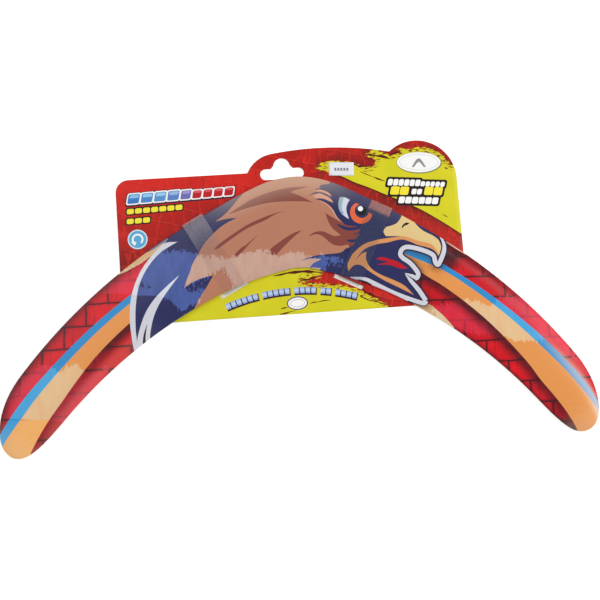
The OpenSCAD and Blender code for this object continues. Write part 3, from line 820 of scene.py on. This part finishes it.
# One crossing of a mortar line and an upright joint on each wing, the mortar lines' slope, and one brick
LEFT_CROSSING, RIGHT_CROSSING, WALL_SLOPE, BRICK = (-183.0, 5.6), (87.7, 11.6), 0.014, (31.0, 15.5)


def wall_place(plan):
    """Where a point of the blade lies on the printed brick wall."""
    start = np.where(plan[:, :1] < 0, LEFT_CROSSING, RIGHT_CROSSING)
    x, y = (plan - start).T
    return np.column_stack([x, y - WALL_SLOPE * plan[:, 0], np.zeros(len(plan))])


def painted_sheen_field(plan):
    """How far a painted sheen lightens the print to cream: at the crown, the right stripe, the left inner edge
    and the tips.
    """
    s, across = blade_place(plan)
    wide, narrow = smooth((95 - np.abs(s)) / 40), smooth((52 - np.abs(s + 14)) / 34)
    crown = smooth((across - 12) / 22) * (0.05 * wide + 0.18 * narrow)
    right = 0.36 * smooth((s - 180) / 60) * smooth((across - 5) / 6) * smooth((16.5 - across) / 4)
    left = 0.06 * smooth((-s - 120) / 40) * smooth((-across - 12) / 7)
    return np.clip(crown + right + left + 0.12 * smooth((np.abs(s) - 246) / 20), 0, 1)


def beak_lines(extra):
    """The white keyline round the beak and jaw, made wider by an extra for the dark line below it."""
    for points, widths, share in (
            (KEYLINE, [1.0, 2.4, 3.2] + [3.3] * 11 + [3.0], 1.8),
            ([(84.2, 12.8), (81, 14.6), (75.8, 16.9)], [3.0, 2.4, 0.5], 1.8),
            (CHIN, [0.6, 2.8, 3.3, 3.3], 1.8), (JAW, [3.2, 3.2, 3.0, 3.0, 3.0, 2.6, 0.8], 1)):
        yield band(points, np.array(widths) + share * extra, 0.6)


def halo_field(plan):
    """The drop shadow that the beak throws on the print round it."""
    gap = np.full(len(plan), 99.0)
    near = (plan[:, 0] > 30) & (plan[:, 0] < 125)  # no line of the beak is near the other points
    gap[near] = -np.max([depth(plan[near], line) for line in beak_lines(DARK_EXTRA)], axis=0)
    return np.where(gap > -0.01, np.exp(-np.maximum(gap, 0) / 2.2), 0) * ~inside(plan, next(head_shapes())[0])


def shade_field(plan):
    """Soft maroon shade at the blade's edges, under the stripes and beside the beak."""
    s, across = blade_place(plan)
    room = np.clip(half_chord(s) - np.abs(across), 0, 99)
    outer = 0.9 * np.exp(-(room / np.where(s < 0, 4.5, 6.5)) ** 2)
    outer *= (across > 0) * np.where(s < 0, 1, smooth((190 - s) / 60))
    inner = (across < 0) * (s > 0) * 0.8 * np.exp(-(room / 1.6) ** 2)
    left, right = (np.interp(side * s, *np.array(STRIPES[side]["low"]).T) for side in (-1, 1))
    low = np.where(s > 0, right, left)
    under = np.where(low > across - 6, smooth((9.5 - (low - across)) / 7.5), 0)
    under *= np.where(s > 0, 0.95 - 0.12 * smooth((s - 190) / 50), 0.95 - 0.45 * smooth((-s - 150) / 60))
    beak = 0.9 * smooth((19 - np.hypot(plan[:, 0] - 102, plan[:, 1] - 28)) / 10) * (plan[:, 0] > 70)
    return np.clip(outer + inner + under + beak, 0, 1)


# The paler ink that each ink turns to under the painted reflection
RED_BASE = paint("#c81e2c", 0.0)
REFLECTED_INKS = {NAVY: paint("#4c61a4"), NAVY_DEEP: paint("#3d4c86"), BROWN: paint("#caa696"),
           BROWN_DARK: paint("#be9688"), PEACH: paint("#dcc0ae"), BONE: paint("#dcdce4"),
           SKY: paint("#48a8de"), ORANGE: paint("#e4c294"), TAN: paint("#e0c8a0")}


def blade_ragged(plan):
    """How far noise may push the painted reflection's rim: hardly at two straight stretches on the left wing.
    """
    x, y = plan.T
    return np.where((y < -68) | ((x < -99) & (y < 11) & (y > 3)), 0.8, 14.0)


def make_blade_print(material):
    """The printed film: a closed thin shell over the blade's top and rim."""
    round_over = 0.5  # radius of the film's turn at the rim
    fine = np.concatenate([np.arange(0, WING_RUN - TIP_LENGTH, 2.0),
                           WING_RUN - TIP_LENGTH * (1 - np.sin(np.linspace(0, math.pi / 2, 48)))])
    stations = np.concatenate([-fine[:0:-1], fine])
    half = half_chord(stations)
    outline = np.vstack([plan_point(stations, half), plan_point(stations[-2:0:-1], -half[-2:0:-1])])[::-1]
    ahead = unit(np.roll(outline, -1, 0) - np.roll(outline, 1, 0))
    boundary = outline - np.stack([ahead[:, 1], -ahead[:, 0]], -1) * round_over

    layers = [*wing_shapes(), *head_shapes()]
    # Points that carry the curved top: 19 lines along the blade, closer together near its edges and tips
    near_tip = WING_RUN - np.array([0.6, 1.4, 2.4, 3.6, 5.0])
    along = np.concatenate([-near_tip, np.arange(-261, 262, 3.0), near_tip])
    s_grid, v_grid = np.meshgrid(along, np.sin(np.linspace(-1.4, 1.4, 19)))
    grid = plan_point(s_grid.ravel(), v_grid.ravel() * half_chord(s_grid.ravel()))
    grid = grid[inside(grid, boundary)]
    plan, tris = triangulate(boundary, [], [o for o, _ in layers], grid)

    inks = inked(plan, tris, layers, RED_BASE)
    s, across = blade_place(plan)
    top = top_height(s, np.clip(across / np.maximum(half_chord(s), 0.01), -1, 1))

    skin = Skin()
    outer = skin.add_points(blade_to_frame(plan), BLADE_Z + top, plan)
    skin.add_faces(outer[tris], inks)
    inner = skin.add_points(blade_to_frame(plan), BLADE_Z + top - FILM_THICK, plan)
    skin.add_faces(inner[tris][:, ::-1], inks)
    (ring, faces), = border_loops(tris)
    normal, ring_top = outward(plan, ring), top[ring]

    def rim(out, z):
        at = plan[ring] + normal * out
        return skin.add_points(blade_to_frame(at), BLADE_Z + z, at)

    turn = np.radians([22.5, 45, 67.5, 90])
    rings = [outer[ring]]
    rings += [rim(round_over * math.sin(a), ring_top - round_over * (1 - math.cos(a))) for a in turn]
    rings += [rim(round_over, RIM_GAP), rim(round_over - FILM_THICK, RIM_GAP),
              rim(round_over - FILM_THICK, ring_top - round_over), inner[ring]]
    for low, high in zip(rings, rings[1:]):
        skin.bridge(low, high, inks[faces])

    # The fields carry the painted reflection, painted shade, painted sheen and drop shadow, and how ragged the
    # reflection's rim is.
    piece = skin.build("blade_print", [material], {
        "painted_reflection": reflection_field, "shade": shade_field, "pale": painted_sheen_field, "halo": halo_field,
        "ragged": blade_ragged})
    wall = piece.data.attributes.new("wall", "FLOAT_VECTOR", "POINT")
    wall.data.foreach_set("vector", wall_place(np.vstack(skin.plan)).astype(np.float32).ravel())
    # The paler inks that show under the painted reflection
    reflected_ink = piece.data.attributes.new("reflected_ink", "FLOAT_COLOR", "CORNER")
    colours = np.array([REFLECTED_INKS.get(tuple(ink), ink) for ink in skin.inks], np.float32)
    reflected_ink.data.foreach_set("color", np.repeat(colours, [len(f) for f in skin.faces], axis=0).ravel())
    return piece


# ---- the card's artwork, in the card's frame ----
def crossing(c1, r1, c2, r2, turn):
    """The angle on circle 1 at which circle 2 crosses it, on the side that turn's sign gives."""
    d = np.subtract(c2, c1)
    gap = math.hypot(*d)
    aside = math.acos((r1 * r1 + gap * gap - r2 * r2) / (2 * r1 * gap))
    return math.degrees(math.atan2(d[1], d[0]) + turn * aside) % 360


def card_outline():
    crest, lobe = (CREST_X, CREST_TOP - CREST_R), (CARD_W / 2 - LOBE_R, LOBE_TOP - LOBE_R)
    shoulder = (SHOULDER_X, crest[1] + math.sqrt((CREST_R - SHOULDER_R) ** 2 - (SHOULDER_X - CREST_X) ** 2))
    low, wide = CARD_H / 2 - CORNER_R, CARD_W / 2 - CORNER_R
    start = math.degrees(math.atan2(shoulder[1] - crest[1], shoulder[0] - crest[0]))
    end = 180 - math.degrees(math.asin((CARD_H / 2 - shoulder[1]) / SHOULDER_R))
    return np.vstack([arc((-wide, -low), CORNER_R, 180, 270), arc((wide, -low), CORNER_R, 270, 360),
                      arc(lobe, LOBE_R, 0, crossing(lobe, LOBE_R, crest, CREST_R, -1), 40),
                      arc(crest, CREST_R, crossing(crest, CREST_R, lobe, LOBE_R, 1), start, 40)[1:],
                      arc(shoulder, SHOULDER_R, start, end, 16)[1:], arc((-wide, low), CORNER_R, 90, 180)])


def slot_outline():
    arm, hump_y = SLOT_W / 2 - SLOT_H / 2, SLOT_H / 2 + HUMP_R / 4
    foot = (HUMP_R + 2, SLOT_H / 2)
    return SLOT_AT + np.vstack([arc((-arm, 0), SLOT_H / 2, 90, 270), arc((arm, 0), SLOT_H / 2, -90, 90),
                                [foot], arc((0, hump_y), HUMP_R, 8, 172, 18), [(-foot[0], foot[1])]])


def on_strap(side, points):
    """From a strap's own frame, Y along the strap, to the card's."""
    return turned(points, -side * STRAP_ANGLE) + [STRAP_AXIS_X + side * STRAP_MID_X, STRAP_MID_Y]


def slit_outline(side, along):
    box = np.array([(-1, -1), (1, -1), (1, 1), (-1, 1)]) * [SLIT_L / 2, SLIT_W / 2]
    return on_strap(side, box + [0, along])


def boomerang_icon(centre, size, turn=0.0):
    """A plain two-armed boomerang sign."""
    icon = shape([(-1, -0.62), (-0.35, 0.42), (0, 0.6)], [(0.35, 0.42), (1, -0.62)],
                 [(0.72, -0.66), (0.2, -0.02), (0, 0.06)], [(-0.2, -0.02), (-0.72, -0.66)], step=0.2)
    return turned(icon * size, math.radians(turn)) + centre


WHITE, SOFT_BLACK, YELLOW, OUTLINE = paint("#f4f4f2"), paint("#1f1512"), paint("#f3e13a"), paint("#3b1a2c")


def block_row(centre, widths, height, gap, turn, slant=0.25, grow=0.0):
    """A row of slanted rounded blocks, which stands for a printed word without lettering."""
    x = -(sum(widths) + gap * (len(widths) - 1)) / 2
    heights = np.broadcast_to(height, len(widths))
    for w, h in zip(widths, heights):
        block = rounded_box((x + w / 2, (h - heights[0]) / 2), w + 2 * grow, h + 2 * grow, 1.1 + grow * 0.5)
        yield turned(block + np.outer(block[:, 1], [slant, 0]), math.radians(turn)) + centre
        x += w + gap


def card_shapes():
    """Generic printed signs in the places where the photograph has words and marks."""
    yield from ((band(points, widths, 0.8), DAUB) for points, widths in DAUBS)
    # Title: white-edged blocks that fade from blue to red, lighter at their tops
    fade = ["#3f78c0", "#4b86c8", "#5a90cc", "#5a7fc0", "#6f6cb0", "#b8202c", "#bc1a26", "#bc1a26", "#b81822"]
    tops = ["#86c0e4", "#90c8e8", "#98cae8", "#98b4e0", "#9c94cc", "#dc6068", "#dc5660", "#dc5660", "#d85058"]
    widths, heights = [8.2] * 4 + [7.2] + [6.4] * 4, [6.8, 6.8, 6.8, 6.8, 6.4, 5.6, 5.6, 5.6, 5.6]
    title = np.array([-78.5, 39.4])
    for grow, drop, colours in ((1.7, -0.4, [OUTLINE] * 9), (0.9, 0, [WHITE] * 9), (0, 0, map(paint, fade))):
        yield from zip(block_row(title + (0, drop), widths, heights, 1.3, 1.6, grow=grow), colours)
    shine = block_row(title + (0.5, 1.7), [w - 1.4 for w in widths], [h * 0.35 for h in heights], 2.7, 1.6)
    yield from zip(shine, map(paint, tops))
    # Two yellow lines
    for centre, widths in (((-97.9, 29.9), [5.0] * 7), ((-110.0, 22.4), [5.0] * 3)):
        for grow, ink in ((0.9, SOFT_BLACK), (0.0, YELLOW)):
            yield from ((block, ink) for block in block_row(centre, widths, 3.8, 0.8, 1.6, 0.1, grow))
    # Round badge with a returning arrow
    badge = np.array([-111.3, 8.9])
    yield ellipse(badge, 7.5, 7.5), paint("#7d2018")
    yield ellipse(badge, 7.1, 7.1), paint("#d3e2ea")
    yield ellipse(badge, 6.2, 6.2), paint("#5ca8d4")
    yield band(arc(badge, 3.5, -50, 215, 18), 1.3, 0.5), WHITE
    tip = badge + 3.5 * np.array([math.cos(math.radians(215)), math.sin(math.radians(215))])
    yield tip + np.array([(-2.0, 0.6), (2.0, 0.2), (0.6, -2.6)]), WHITE
    # Plain white oval
    yield ellipse((97.8, 53.0), 17.2, 8.2, -3), paint("#8d8f50")
    yield ellipse((97.5, 53.4), 16.4, 7.6, -3), WHITE
    yield ellipse((97.5, 53.4), 14.6, 6.1, -3), paint("#d2d2cc")
    yield ellipse((97.5, 53.4), 14.2, 5.7, -3), WHITE
    yield boomerang_icon((97.5, 53.2), 5.2, -3), paint("#8f9088")
    # Distance sign: three rows of white and yellow blocks
    sign = [((94.4, 38.0), [3.6] * 6 + [3.2] * 5, [4.9] * 6 + [3.8] * 5, WHITE),
            ((94.8, 24.9), [4.5] * 6, 5.0, WHITE), ((81.4, 33.0), [6.5, 6.5], 6.2, YELLOW),
            ((94.1, 31.5), [3.6, 3.6], 4.2, WHITE), ((106.6, 31.2), [6.5, 6.5], 6.2, YELLOW)]
    for grow in (1.6, 0):
        for centre, widths, heights, ink in sign:
            for block in block_row(centre, widths, heights, 0.5, -5, 0.2, grow):
                yield block, SOFT_BLACK if grow else ink
    # Arched line of pale blue blocks in five groups
    middle, radius = np.array([-1.5, -183.0]), 147.5
    groups, at = (6, 5, 4, 2, 4), 109.8
    for count in groups:
        for _ in range(count):
            for out, w, wide, ink in ((-0.7, 5.6, 1.6, OUTLINE), (0.0, 4.4, 1.3, paint("#8fa9d8")),
                                      (0.2, 2.4, 1.3, paint("#b4c8ea"))):
                yield band(arc(middle, radius + out, at, at - wide, 4), w, 0.8), ink
            at -= 1.6
        at -= 1.05
    # Small plain oval
    yield ellipse((-0.1, -44.8), 7.7, 4.9, 0), paint("#5b4a78")
    yield ellipse((-0.1, -44.8), 6.8, 4.1, 0), WHITE
    yield ellipse((-0.1, -44.8), 5.4, 2.9, 0), paint("#a9a4b6")
    yield ellipse((-0.1, -44.8), 5.0, 2.5, 0), WHITE


LIME_TOP = shape([(37.8, 46.7), (48, 41.1), (58.3, 36.8), (72, 29.9)],
                 [(89.8, 21.3), (99.4, 15.7), (112.9, 6.6), (135, -10)], [(135, 44)],
                 [(124.8, 48.7), (121.9, 49.9), (119.2, 51.9), (116.7, 56), (112, 60.4), (107.9, 63)],
                 [(103.6, 63.9), (98, 64.9), (92.9, 64.3), (81.4, 64.6)], [(84, 62), (77.4, 59.7)],
                 [(71.9, 62.6), (63.4, 63.9), (58, 61)], [(66, 56.5)],
                 [(61.7, 51.8), (54.7, 53.3), (49.2, 55.6), (40.1, 57.2), (31.6, 58.2), (24, 57)],
                 [(19.8, 54)], step=4)
LIME_LOW = shape([(-100, -30), (-60, -14), (-16, -10)], [(10, -14)], [(20, -22.5)], [(17.5, -25.8)],
                 [(3, -28.6)], [(6.7, -31.3)], [(22, -33)], [(38, -34.5), (50, -41), (72, -56)],
                 [(-100, -60)], step=4)
DAUB = paint("#561206")
DAUBS = [  # dark brush marks on the lime paint: points and widths
    ([(-16.3, -24), (-10.8, -23.4), (-5.9, -22.5), (-0.5, -22.3), (5, -22.1), (9.2, -22.3), (14, -23),
      (19.3, -23.9)], [0.3, 1.4, 1.0, 2.3, 1.4, 2.2, 0.9, 0.4]),
    ([(2.6, -28.9), (6.3, -28.2), (9, -28.4), (11.2, -27.3), (13.4, -27.6), (16.1, -26.4)],
     [0.3, 1.6, 0.7, 1.7, 0.8, 0.4]),
    ([(9, -45.7), (12, -45), (14.8, -44.9), (19, -44.3), (24.2, -44.2)], [0.3, 0.9, 0.3, 0.8, 0.2]),
    ([(-13.5, -52), (-9.4, -51.6), (-6.5, -50.8), (-1.8, -50.1)], [0.4, 1.3, 0.6, 0.3]),
    ([(-12.6, -48.2), (-10, -47.6), (-7.4, -47.4)], [0.3, 1.0, 0.3]),
    ([(43, -35.4), (46.6, -37), (51.2, -41), (54, -42.2), (57.6, -44.4), (61.4, -46.6)],
     [0.3, 1.7, 1.1, 2.1, 1.0, 0.3]),
    ([(46.4, -43.6), (49, -44.6), (52.1, -46.3), (57, -47.4), (63.5, -50)], [0.2, 1.0, 0.5, 0.9, 0.2]),
    ([(30.8, 47.9), (37.8, 46.4), (48, 40.8), (58.3, 36.4), (72, 29.5), (89.8, 20.9), (99.4, 15.3),
      (112.9, 6.2), (125.1, -2.9)], [0.6, 1.0, 1.2, 0.9, 1.2, 0.9, 1.0, 0.8, 0.8]),
    ([(52.9, 48.9), (57, 47), (62.5, 44.4), (65.9, 42.8), (70.8, 40.7)], [0.2, 0.7, 0.3, 1.3, 0.4]),
    ([(58.4, 61.4), (62, 60.9), (65.2, 60.2), (71.6, 59), (76.2, 57.2)], [0.3, 1.8, 1.0, 2.1, 0.4]),
    ([(49, 54.6), (53, 53), (57, 52.6), (62, 51.3)], [0.3, 1.6, 0.8, 0.2]),
    ([(77, 60.6), (81, 61.4), (85.6, 63)], [0.4, 1.5, 0.3]),
    ([(116.4, 48.3), (117.6, 47.8), (118.6, 47.2)], [0.5, 1.2, 0.6]),
    ([(112, 13.2), (114, 12), (115.6, 11.1)], [0.3, 0.7, 0.3])]


def lime_field(plan):
    return np.maximum(depth(plan, LIME_TOP), depth(plan, LIME_LOW))


LIME_CUT = np.array([(51.2, 40.0), (125.1, -2.4)])  # two points of the upper paint's straight cut rim
CARD_BRICK = (27, 12.5)


def ragged_field(plan):
    """How far noise may push the lime's rim, in millimetres: far at splashed rims, hardly at the cut one."""
    d = LIME_CUT[1] - LIME_CUT[0]
    side = (plan - LIME_CUT[0]) @ np.array([-d[1], d[0]]) / np.hypot(*d)
    cut = (plan[:, 0] > 30) & (side < 8) & (plan[:, 1] > -20)
    return np.where(cut, 1.0, np.where(plan[:, 1] > 20, 8.0, 16.0))


def card_shade(plan):
    """A dark band under the lime's cut edge, a darker lower left and a soft shade above the blade."""
    x, y = plan.T
    gap = -depth(plan, LIME_TOP)
    under_lime = np.where((gap > 0) & (x > 20), np.exp(-gap / 5.0), 0)
    low_left = smooth((22 - y) / 45) * smooth((-40 - x) / 60)
    near_blade = 0.35 * smooth((y - 5) / 20) * smooth((x + 90) / 40) * smooth((40 - y) / 20)
    return np.clip(0.8 * under_lime + low_left + near_blade, 0, 1)


def card_sun(plan):
    """Brighter red along the top left."""
    return 0.3 * smooth((plan[:, 1] - 18) / 34) * smooth((10 - plan[:, 0]) / 60)


def make_card(front, edge, back):
    """The card: a printed front, a plain back and a bare edge with small bevels, cut by the slot and slits."""
    outline = dense(card_outline())
    holes = [slot_outline(), *(slit_outline(side, at) for side in (-1, 1) for at in (LOWER_SLIT, UPPER_SLIT))]
    layers = list(card_shapes())
    grid_step, off_rim, off_hole = 2.6, 1.2, 0.8
    grid = grid_points((-CARD_W / 2 + 2, -CARD_H / 2 + 2), (CARD_W / 2, LOBE_TOP), grid_step)
    kept = depth(grid, outline) > off_rim
    for hole in holes:
        kept &= depth(grid, hole) < -off_hole
    plan, tris = triangulate(outline, holes, [o for o, _ in layers], grid[kept])
    inks = inked(plan, tris, layers, RED_BASE)

    skin = Skin()
    bevel = 0.08
    bare = [paint("#e8e2d6")]
    front_kind, edge_kind, back_kind = range(3)
    borders = border_loops(tris)
    inset = plan.copy()
    for ring, _ in borders:
        inset[ring] -= outward(plan, ring) * bevel
    top = skin.add_points(card_to_frame(inset), CARD_TOP, plan)
    skin.add_faces(top[tris], inks, front_kind)
    under = skin.add_points(card_to_frame(inset), CARD_Z, plan)
    skin.add_faces(under[tris][:, ::-1], bare, back_kind)
    for ring, faces in borders:
        at = plan[ring]
        high = skin.add_points(card_to_frame(at), CARD_TOP - bevel, at)
        low = skin.add_points(card_to_frame(at), CARD_Z + bevel, at)
        skin.bridge(top[ring], high, inks[faces], front_kind)
        skin.bridge(high, low, bare, edge_kind)
        skin.bridge(low, under[ring], bare, back_kind)
    return skin.build("hang_card_print", [front, edge, back],
                      {"lime": lime_field, "ragged": ragged_field, "shade": card_shade, "sun": card_sun})


# ---- straps, tapes and sticker ----
def strap_line(side):
    """The strap film's middle line from its lower foot over the blade to its upper foot: (along, z)."""
    low, high = REACH[side]
    mid, half = (low + high) / 2, (high - low) / 2
    side_z, top_z = BLADE_Z + RIM_HEIGHT, BLADE_Z + BLADE_THICK + STRAP_LIFT
    a = np.radians(np.linspace(180, 0, 61))
    grow = STRAP_THICK / 2
    over = np.column_stack([
        mid + (half + grow) * np.sign(np.cos(a)) * np.abs(np.cos(a)) ** (2 / STRAP_POWER),
        side_z + (top_z - side_z + grow) * np.sin(a) ** (2 / STRAP_POWER)])
    # From the upper rim of the blade down, back under it along the card, and down into the upper slit
    hook, bend = CARD_TOP + HOOK_AIR + grow, 0.12
    foot = CARD_Z + 0.05
    start = np.column_stack([np.full(8, low - grow), np.linspace(foot, side_z, 9)[:-1]])
    drop = [(high + grow, side_z - 0.3), (high + grow, hook + bend), (high + grow - bend, hook)]
    back = [(x, hook) for x in np.linspace(high - 0.4, UPPER_SLIT + 0.2, 5)]
    end = [(UPPER_SLIT - grow, hook - bend), (UPPER_SLIT - grow, foot)]
    return np.vstack([start, over, drop, back, end])


# Each strap's looks: the painted glare, a reflection painted at its upper end; how far from the end it begins
# and over which length it grows, how much the film hides without it, how much more with it, and the glare's
# colour
STRAP_LOOKS = {-1: (45, 30, 0.03, 0.13, "#bcb4b8"), 1: (20, 3, 0.09, 0.26, "#c48a84")}


def make_strap(name, side, material, body):
    """A strap: two sheets of film with a slight ripple, closed round their rim."""
    line = strap_line(side)
    ahead = unit(np.gradient(line, axis=0))
    normal = np.stack([-ahead[:, 1], ahead[:, 0]], -1)
    across = np.linspace(-0.5, 0.5, 15)
    skin = Skin()
    travel = np.concatenate([[0], np.cumsum(np.hypot(*np.diff(line, axis=0).T))])
    flat_top = smooth((line[:, 1] - BLADE_Z - RIM_HEIGHT) / 2)
    sheets = []
    for level in (0.42, -0.42):
        rows = []
        for u in across:
            ripple = 0.06 * np.sin(u * 17 + side) * np.sin(travel * 0.09 + 2 * side)
            ripple += 0.05 * np.sin(u * 9 + travel * 0.05)
            spot = line + normal * (level * STRAP_THICK + flat_top * ripple)[:, None]
            at = on_strap(side, np.column_stack([np.full(len(line), u * STRAP_W), spot[:, 0]]))
            plan = np.column_stack([np.full(len(line), u * STRAP_W), travel])
            rows.append(skin.add_points(card_to_frame(at), spot[:, 1], plan))
        sheets.append(np.array(rows))
    outer, inner = sheets
    far, fade, thin, thick, glare_tint = STRAP_LOOKS[side]
    # Every face's ink is the painted glare's colour.
    bare = [paint(glare_tint)]

    def quads(sheet, flip):
        faces = [(sheet[i, j], sheet[i + 1, j], sheet[i + 1, j + 1], sheet[i, j + 1])
                 for i in range(sheet.shape[0] - 1) for j in range(sheet.shape[1] - 1)]
        return [f[::-1] for f in faces] if flip else faces

    skin.add_faces(quads(outer, False), bare)
    skin.add_faces(quads(inner, True), bare)
    ring_out, ring_in = (np.concatenate([sheet[:, 0], sheet[-1, 1:], sheet[-2::-1, -1], sheet[0, -2:0:-1]])
                         for sheet in (outer, inner))
    skin.bridge(ring_out, ring_in, bare)

    # Painted glare: a reflection painted towards the strap's upper end
    def glare(plan):
        return smooth((plan[:, 1] - travel[-1] + far) / fade)

    piece = skin.build(name + "_film", [material], {
        "rim": lambda plan: np.abs(plan[:, 0]) / (STRAP_W / 2), "glare": glare,
        "veil": lambda plan: thin + thick * glare(plan)})
    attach(piece, body)
    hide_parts(name)
    return piece


def make_sheet(name, outline, marks, low, high, material, step=1.5):
    """A thin closed sheet over an outline in the card's frame, with printed marks on its top."""
    grid = grid_points(outline.min(0) + step, outline.max(0), step)
    plan, tris = triangulate(outline, [], [o for o, _ in marks], grid[depth(grid, outline) > step / 2])
    blank = (1, 1, 1, 0)
    skin = Skin()
    top = skin.add_points(card_to_frame(plan), high, plan)
    under = skin.add_points(card_to_frame(plan), low, plan)
    skin.add_faces(top[tris], inked(plan, tris, marks, blank))
    skin.add_faces(under[tris][:, ::-1], [blank])
    for ring, _ in border_loops(tris):
        skin.bridge(top[ring], under[ring], [blank])
    return skin.build(name, [material])


# ---- build ----
print_material = film_print()
blade = make_blade_print(print_material)
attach(blade, "boomerang")
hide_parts("blade_film")

card = make_card(card_print(), board("board_edge", "#ece6da", "#cfc6b4"),
                 board("board_back", "#d8d2c4", "#bdb5a4"))
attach(card, "card")
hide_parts("hang_card")

clear = clear_film()
make_strap("strap_left", -1, clear, "straps")
make_strap("strap_right", 1, clear, "straps")

new_material("blade_core", moulded_plastic())
creased = creased_film()
for node in ("tail_left_upper", "tail_left_lower", "tail_right_upper", "tail_right_lower"):
    new_material(node, creased)
tape = tape_film()
for node in ("tape_left", "tape_right"):
    new_material(node, tape)

STICKER_AT, STICKER_TURN, STICKER_THICK = (39.5, 51.7), -3.4, 0.12
bars = [turned(rounded_box((x, -0.3), 1.5, 2.2, 0.3), math.radians(STICKER_TURN)) + STICKER_AT
        for x in np.arange(-4.4, 4.5, 2.2)]
sticker = make_sheet("sticker_label", rounded_box(STICKER_AT, 18.5, 10, 0.6, STICKER_TURN),
                     [(bar, paint("#77777c")) for bar in bars], CARD_TOP, CARD_TOP + STICKER_THICK,
                     board("sticker_paper", "#e4e5ea", "#d8d9de", 0.15, printed=True))
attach(sticker, "card")
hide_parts("code_sticker")

# ---- stage ----
FLOOR_REACH, FLOOR_Z, WORLD_LIGHT = 3.0, -0.0003, 0.62
corners = [(x * FLOOR_REACH, y * FLOOR_REACH, FLOOR_Z) for x, y in ((-1, -1), (1, -1), (1, 1), (-1, 1))]
floor_mesh = bpy.data.meshes.new("floor")
floor_mesh.from_pydata(corners, [], [(0, 1, 2, 3)])
floor = bpy.data.objects.new("floor", floor_mesh)
bpy.context.scene.collection.objects.link(floor)
ground = Nodes("floor_white")
ground.set(Base_Color=paint("#f6f6f6"), Roughness=0.9, Emission_Color=paint("#ffffff"), Emission_Strength=0.3)
floor_mesh.materials.append(ground.material)

world = bpy.data.worlds.new("studio")
bpy.context.scene.world = world
world.use_nodes = True
background = world.node_tree.nodes["Background"].inputs
background["Color"].default_value = (1, 1, 1, 1)
background["Strength"].default_value = WORLD_LIGHT


def soft_light(name, at, width, height, watts):
    """A rectangular light that points at the frame's zero point."""
    data = bpy.data.lights.new(name, "AREA")
    data.shape, data.size, data.size_y, data.energy = "RECTANGLE", width, height, watts
    light = bpy.data.objects.new(name, data)
    light.location = at
    light.rotation_euler = (-Vector(at)).to_track_quat("-Z", "Y").to_euler()
    bpy.context.scene.collection.objects.link(light)


soft_light("key", at=(1.0, 0.1, 0.8), width=0.8, height=1.1, watts=9)
soft_light("fill", at=(-0.75, 0.5, 1.25), width=1.0, height=1.0, watts=5)

# The camera is above the pack's lower left, as the photograph's was.
CAMERA_AT, CAMERA_TURN, LENS, SENSOR = (-0.0407, -0.0461, 0.5758), (4.75, -3.87, -4.28), 48, 36
camera_data = bpy.data.cameras.new("camera")
camera_data.sensor_width, camera_data.lens = SENSOR, LENS
camera = bpy.data.objects.new("camera", camera_data)
camera.location = CAMERA_AT
camera.rotation_euler = [math.radians(a) for a in CAMERA_TURN]
bpy.context.scene.collection.objects.link(camera)
bpy.context.scene.camera = camera
bpy.context.scene.view_settings.view_transform = "Standard"
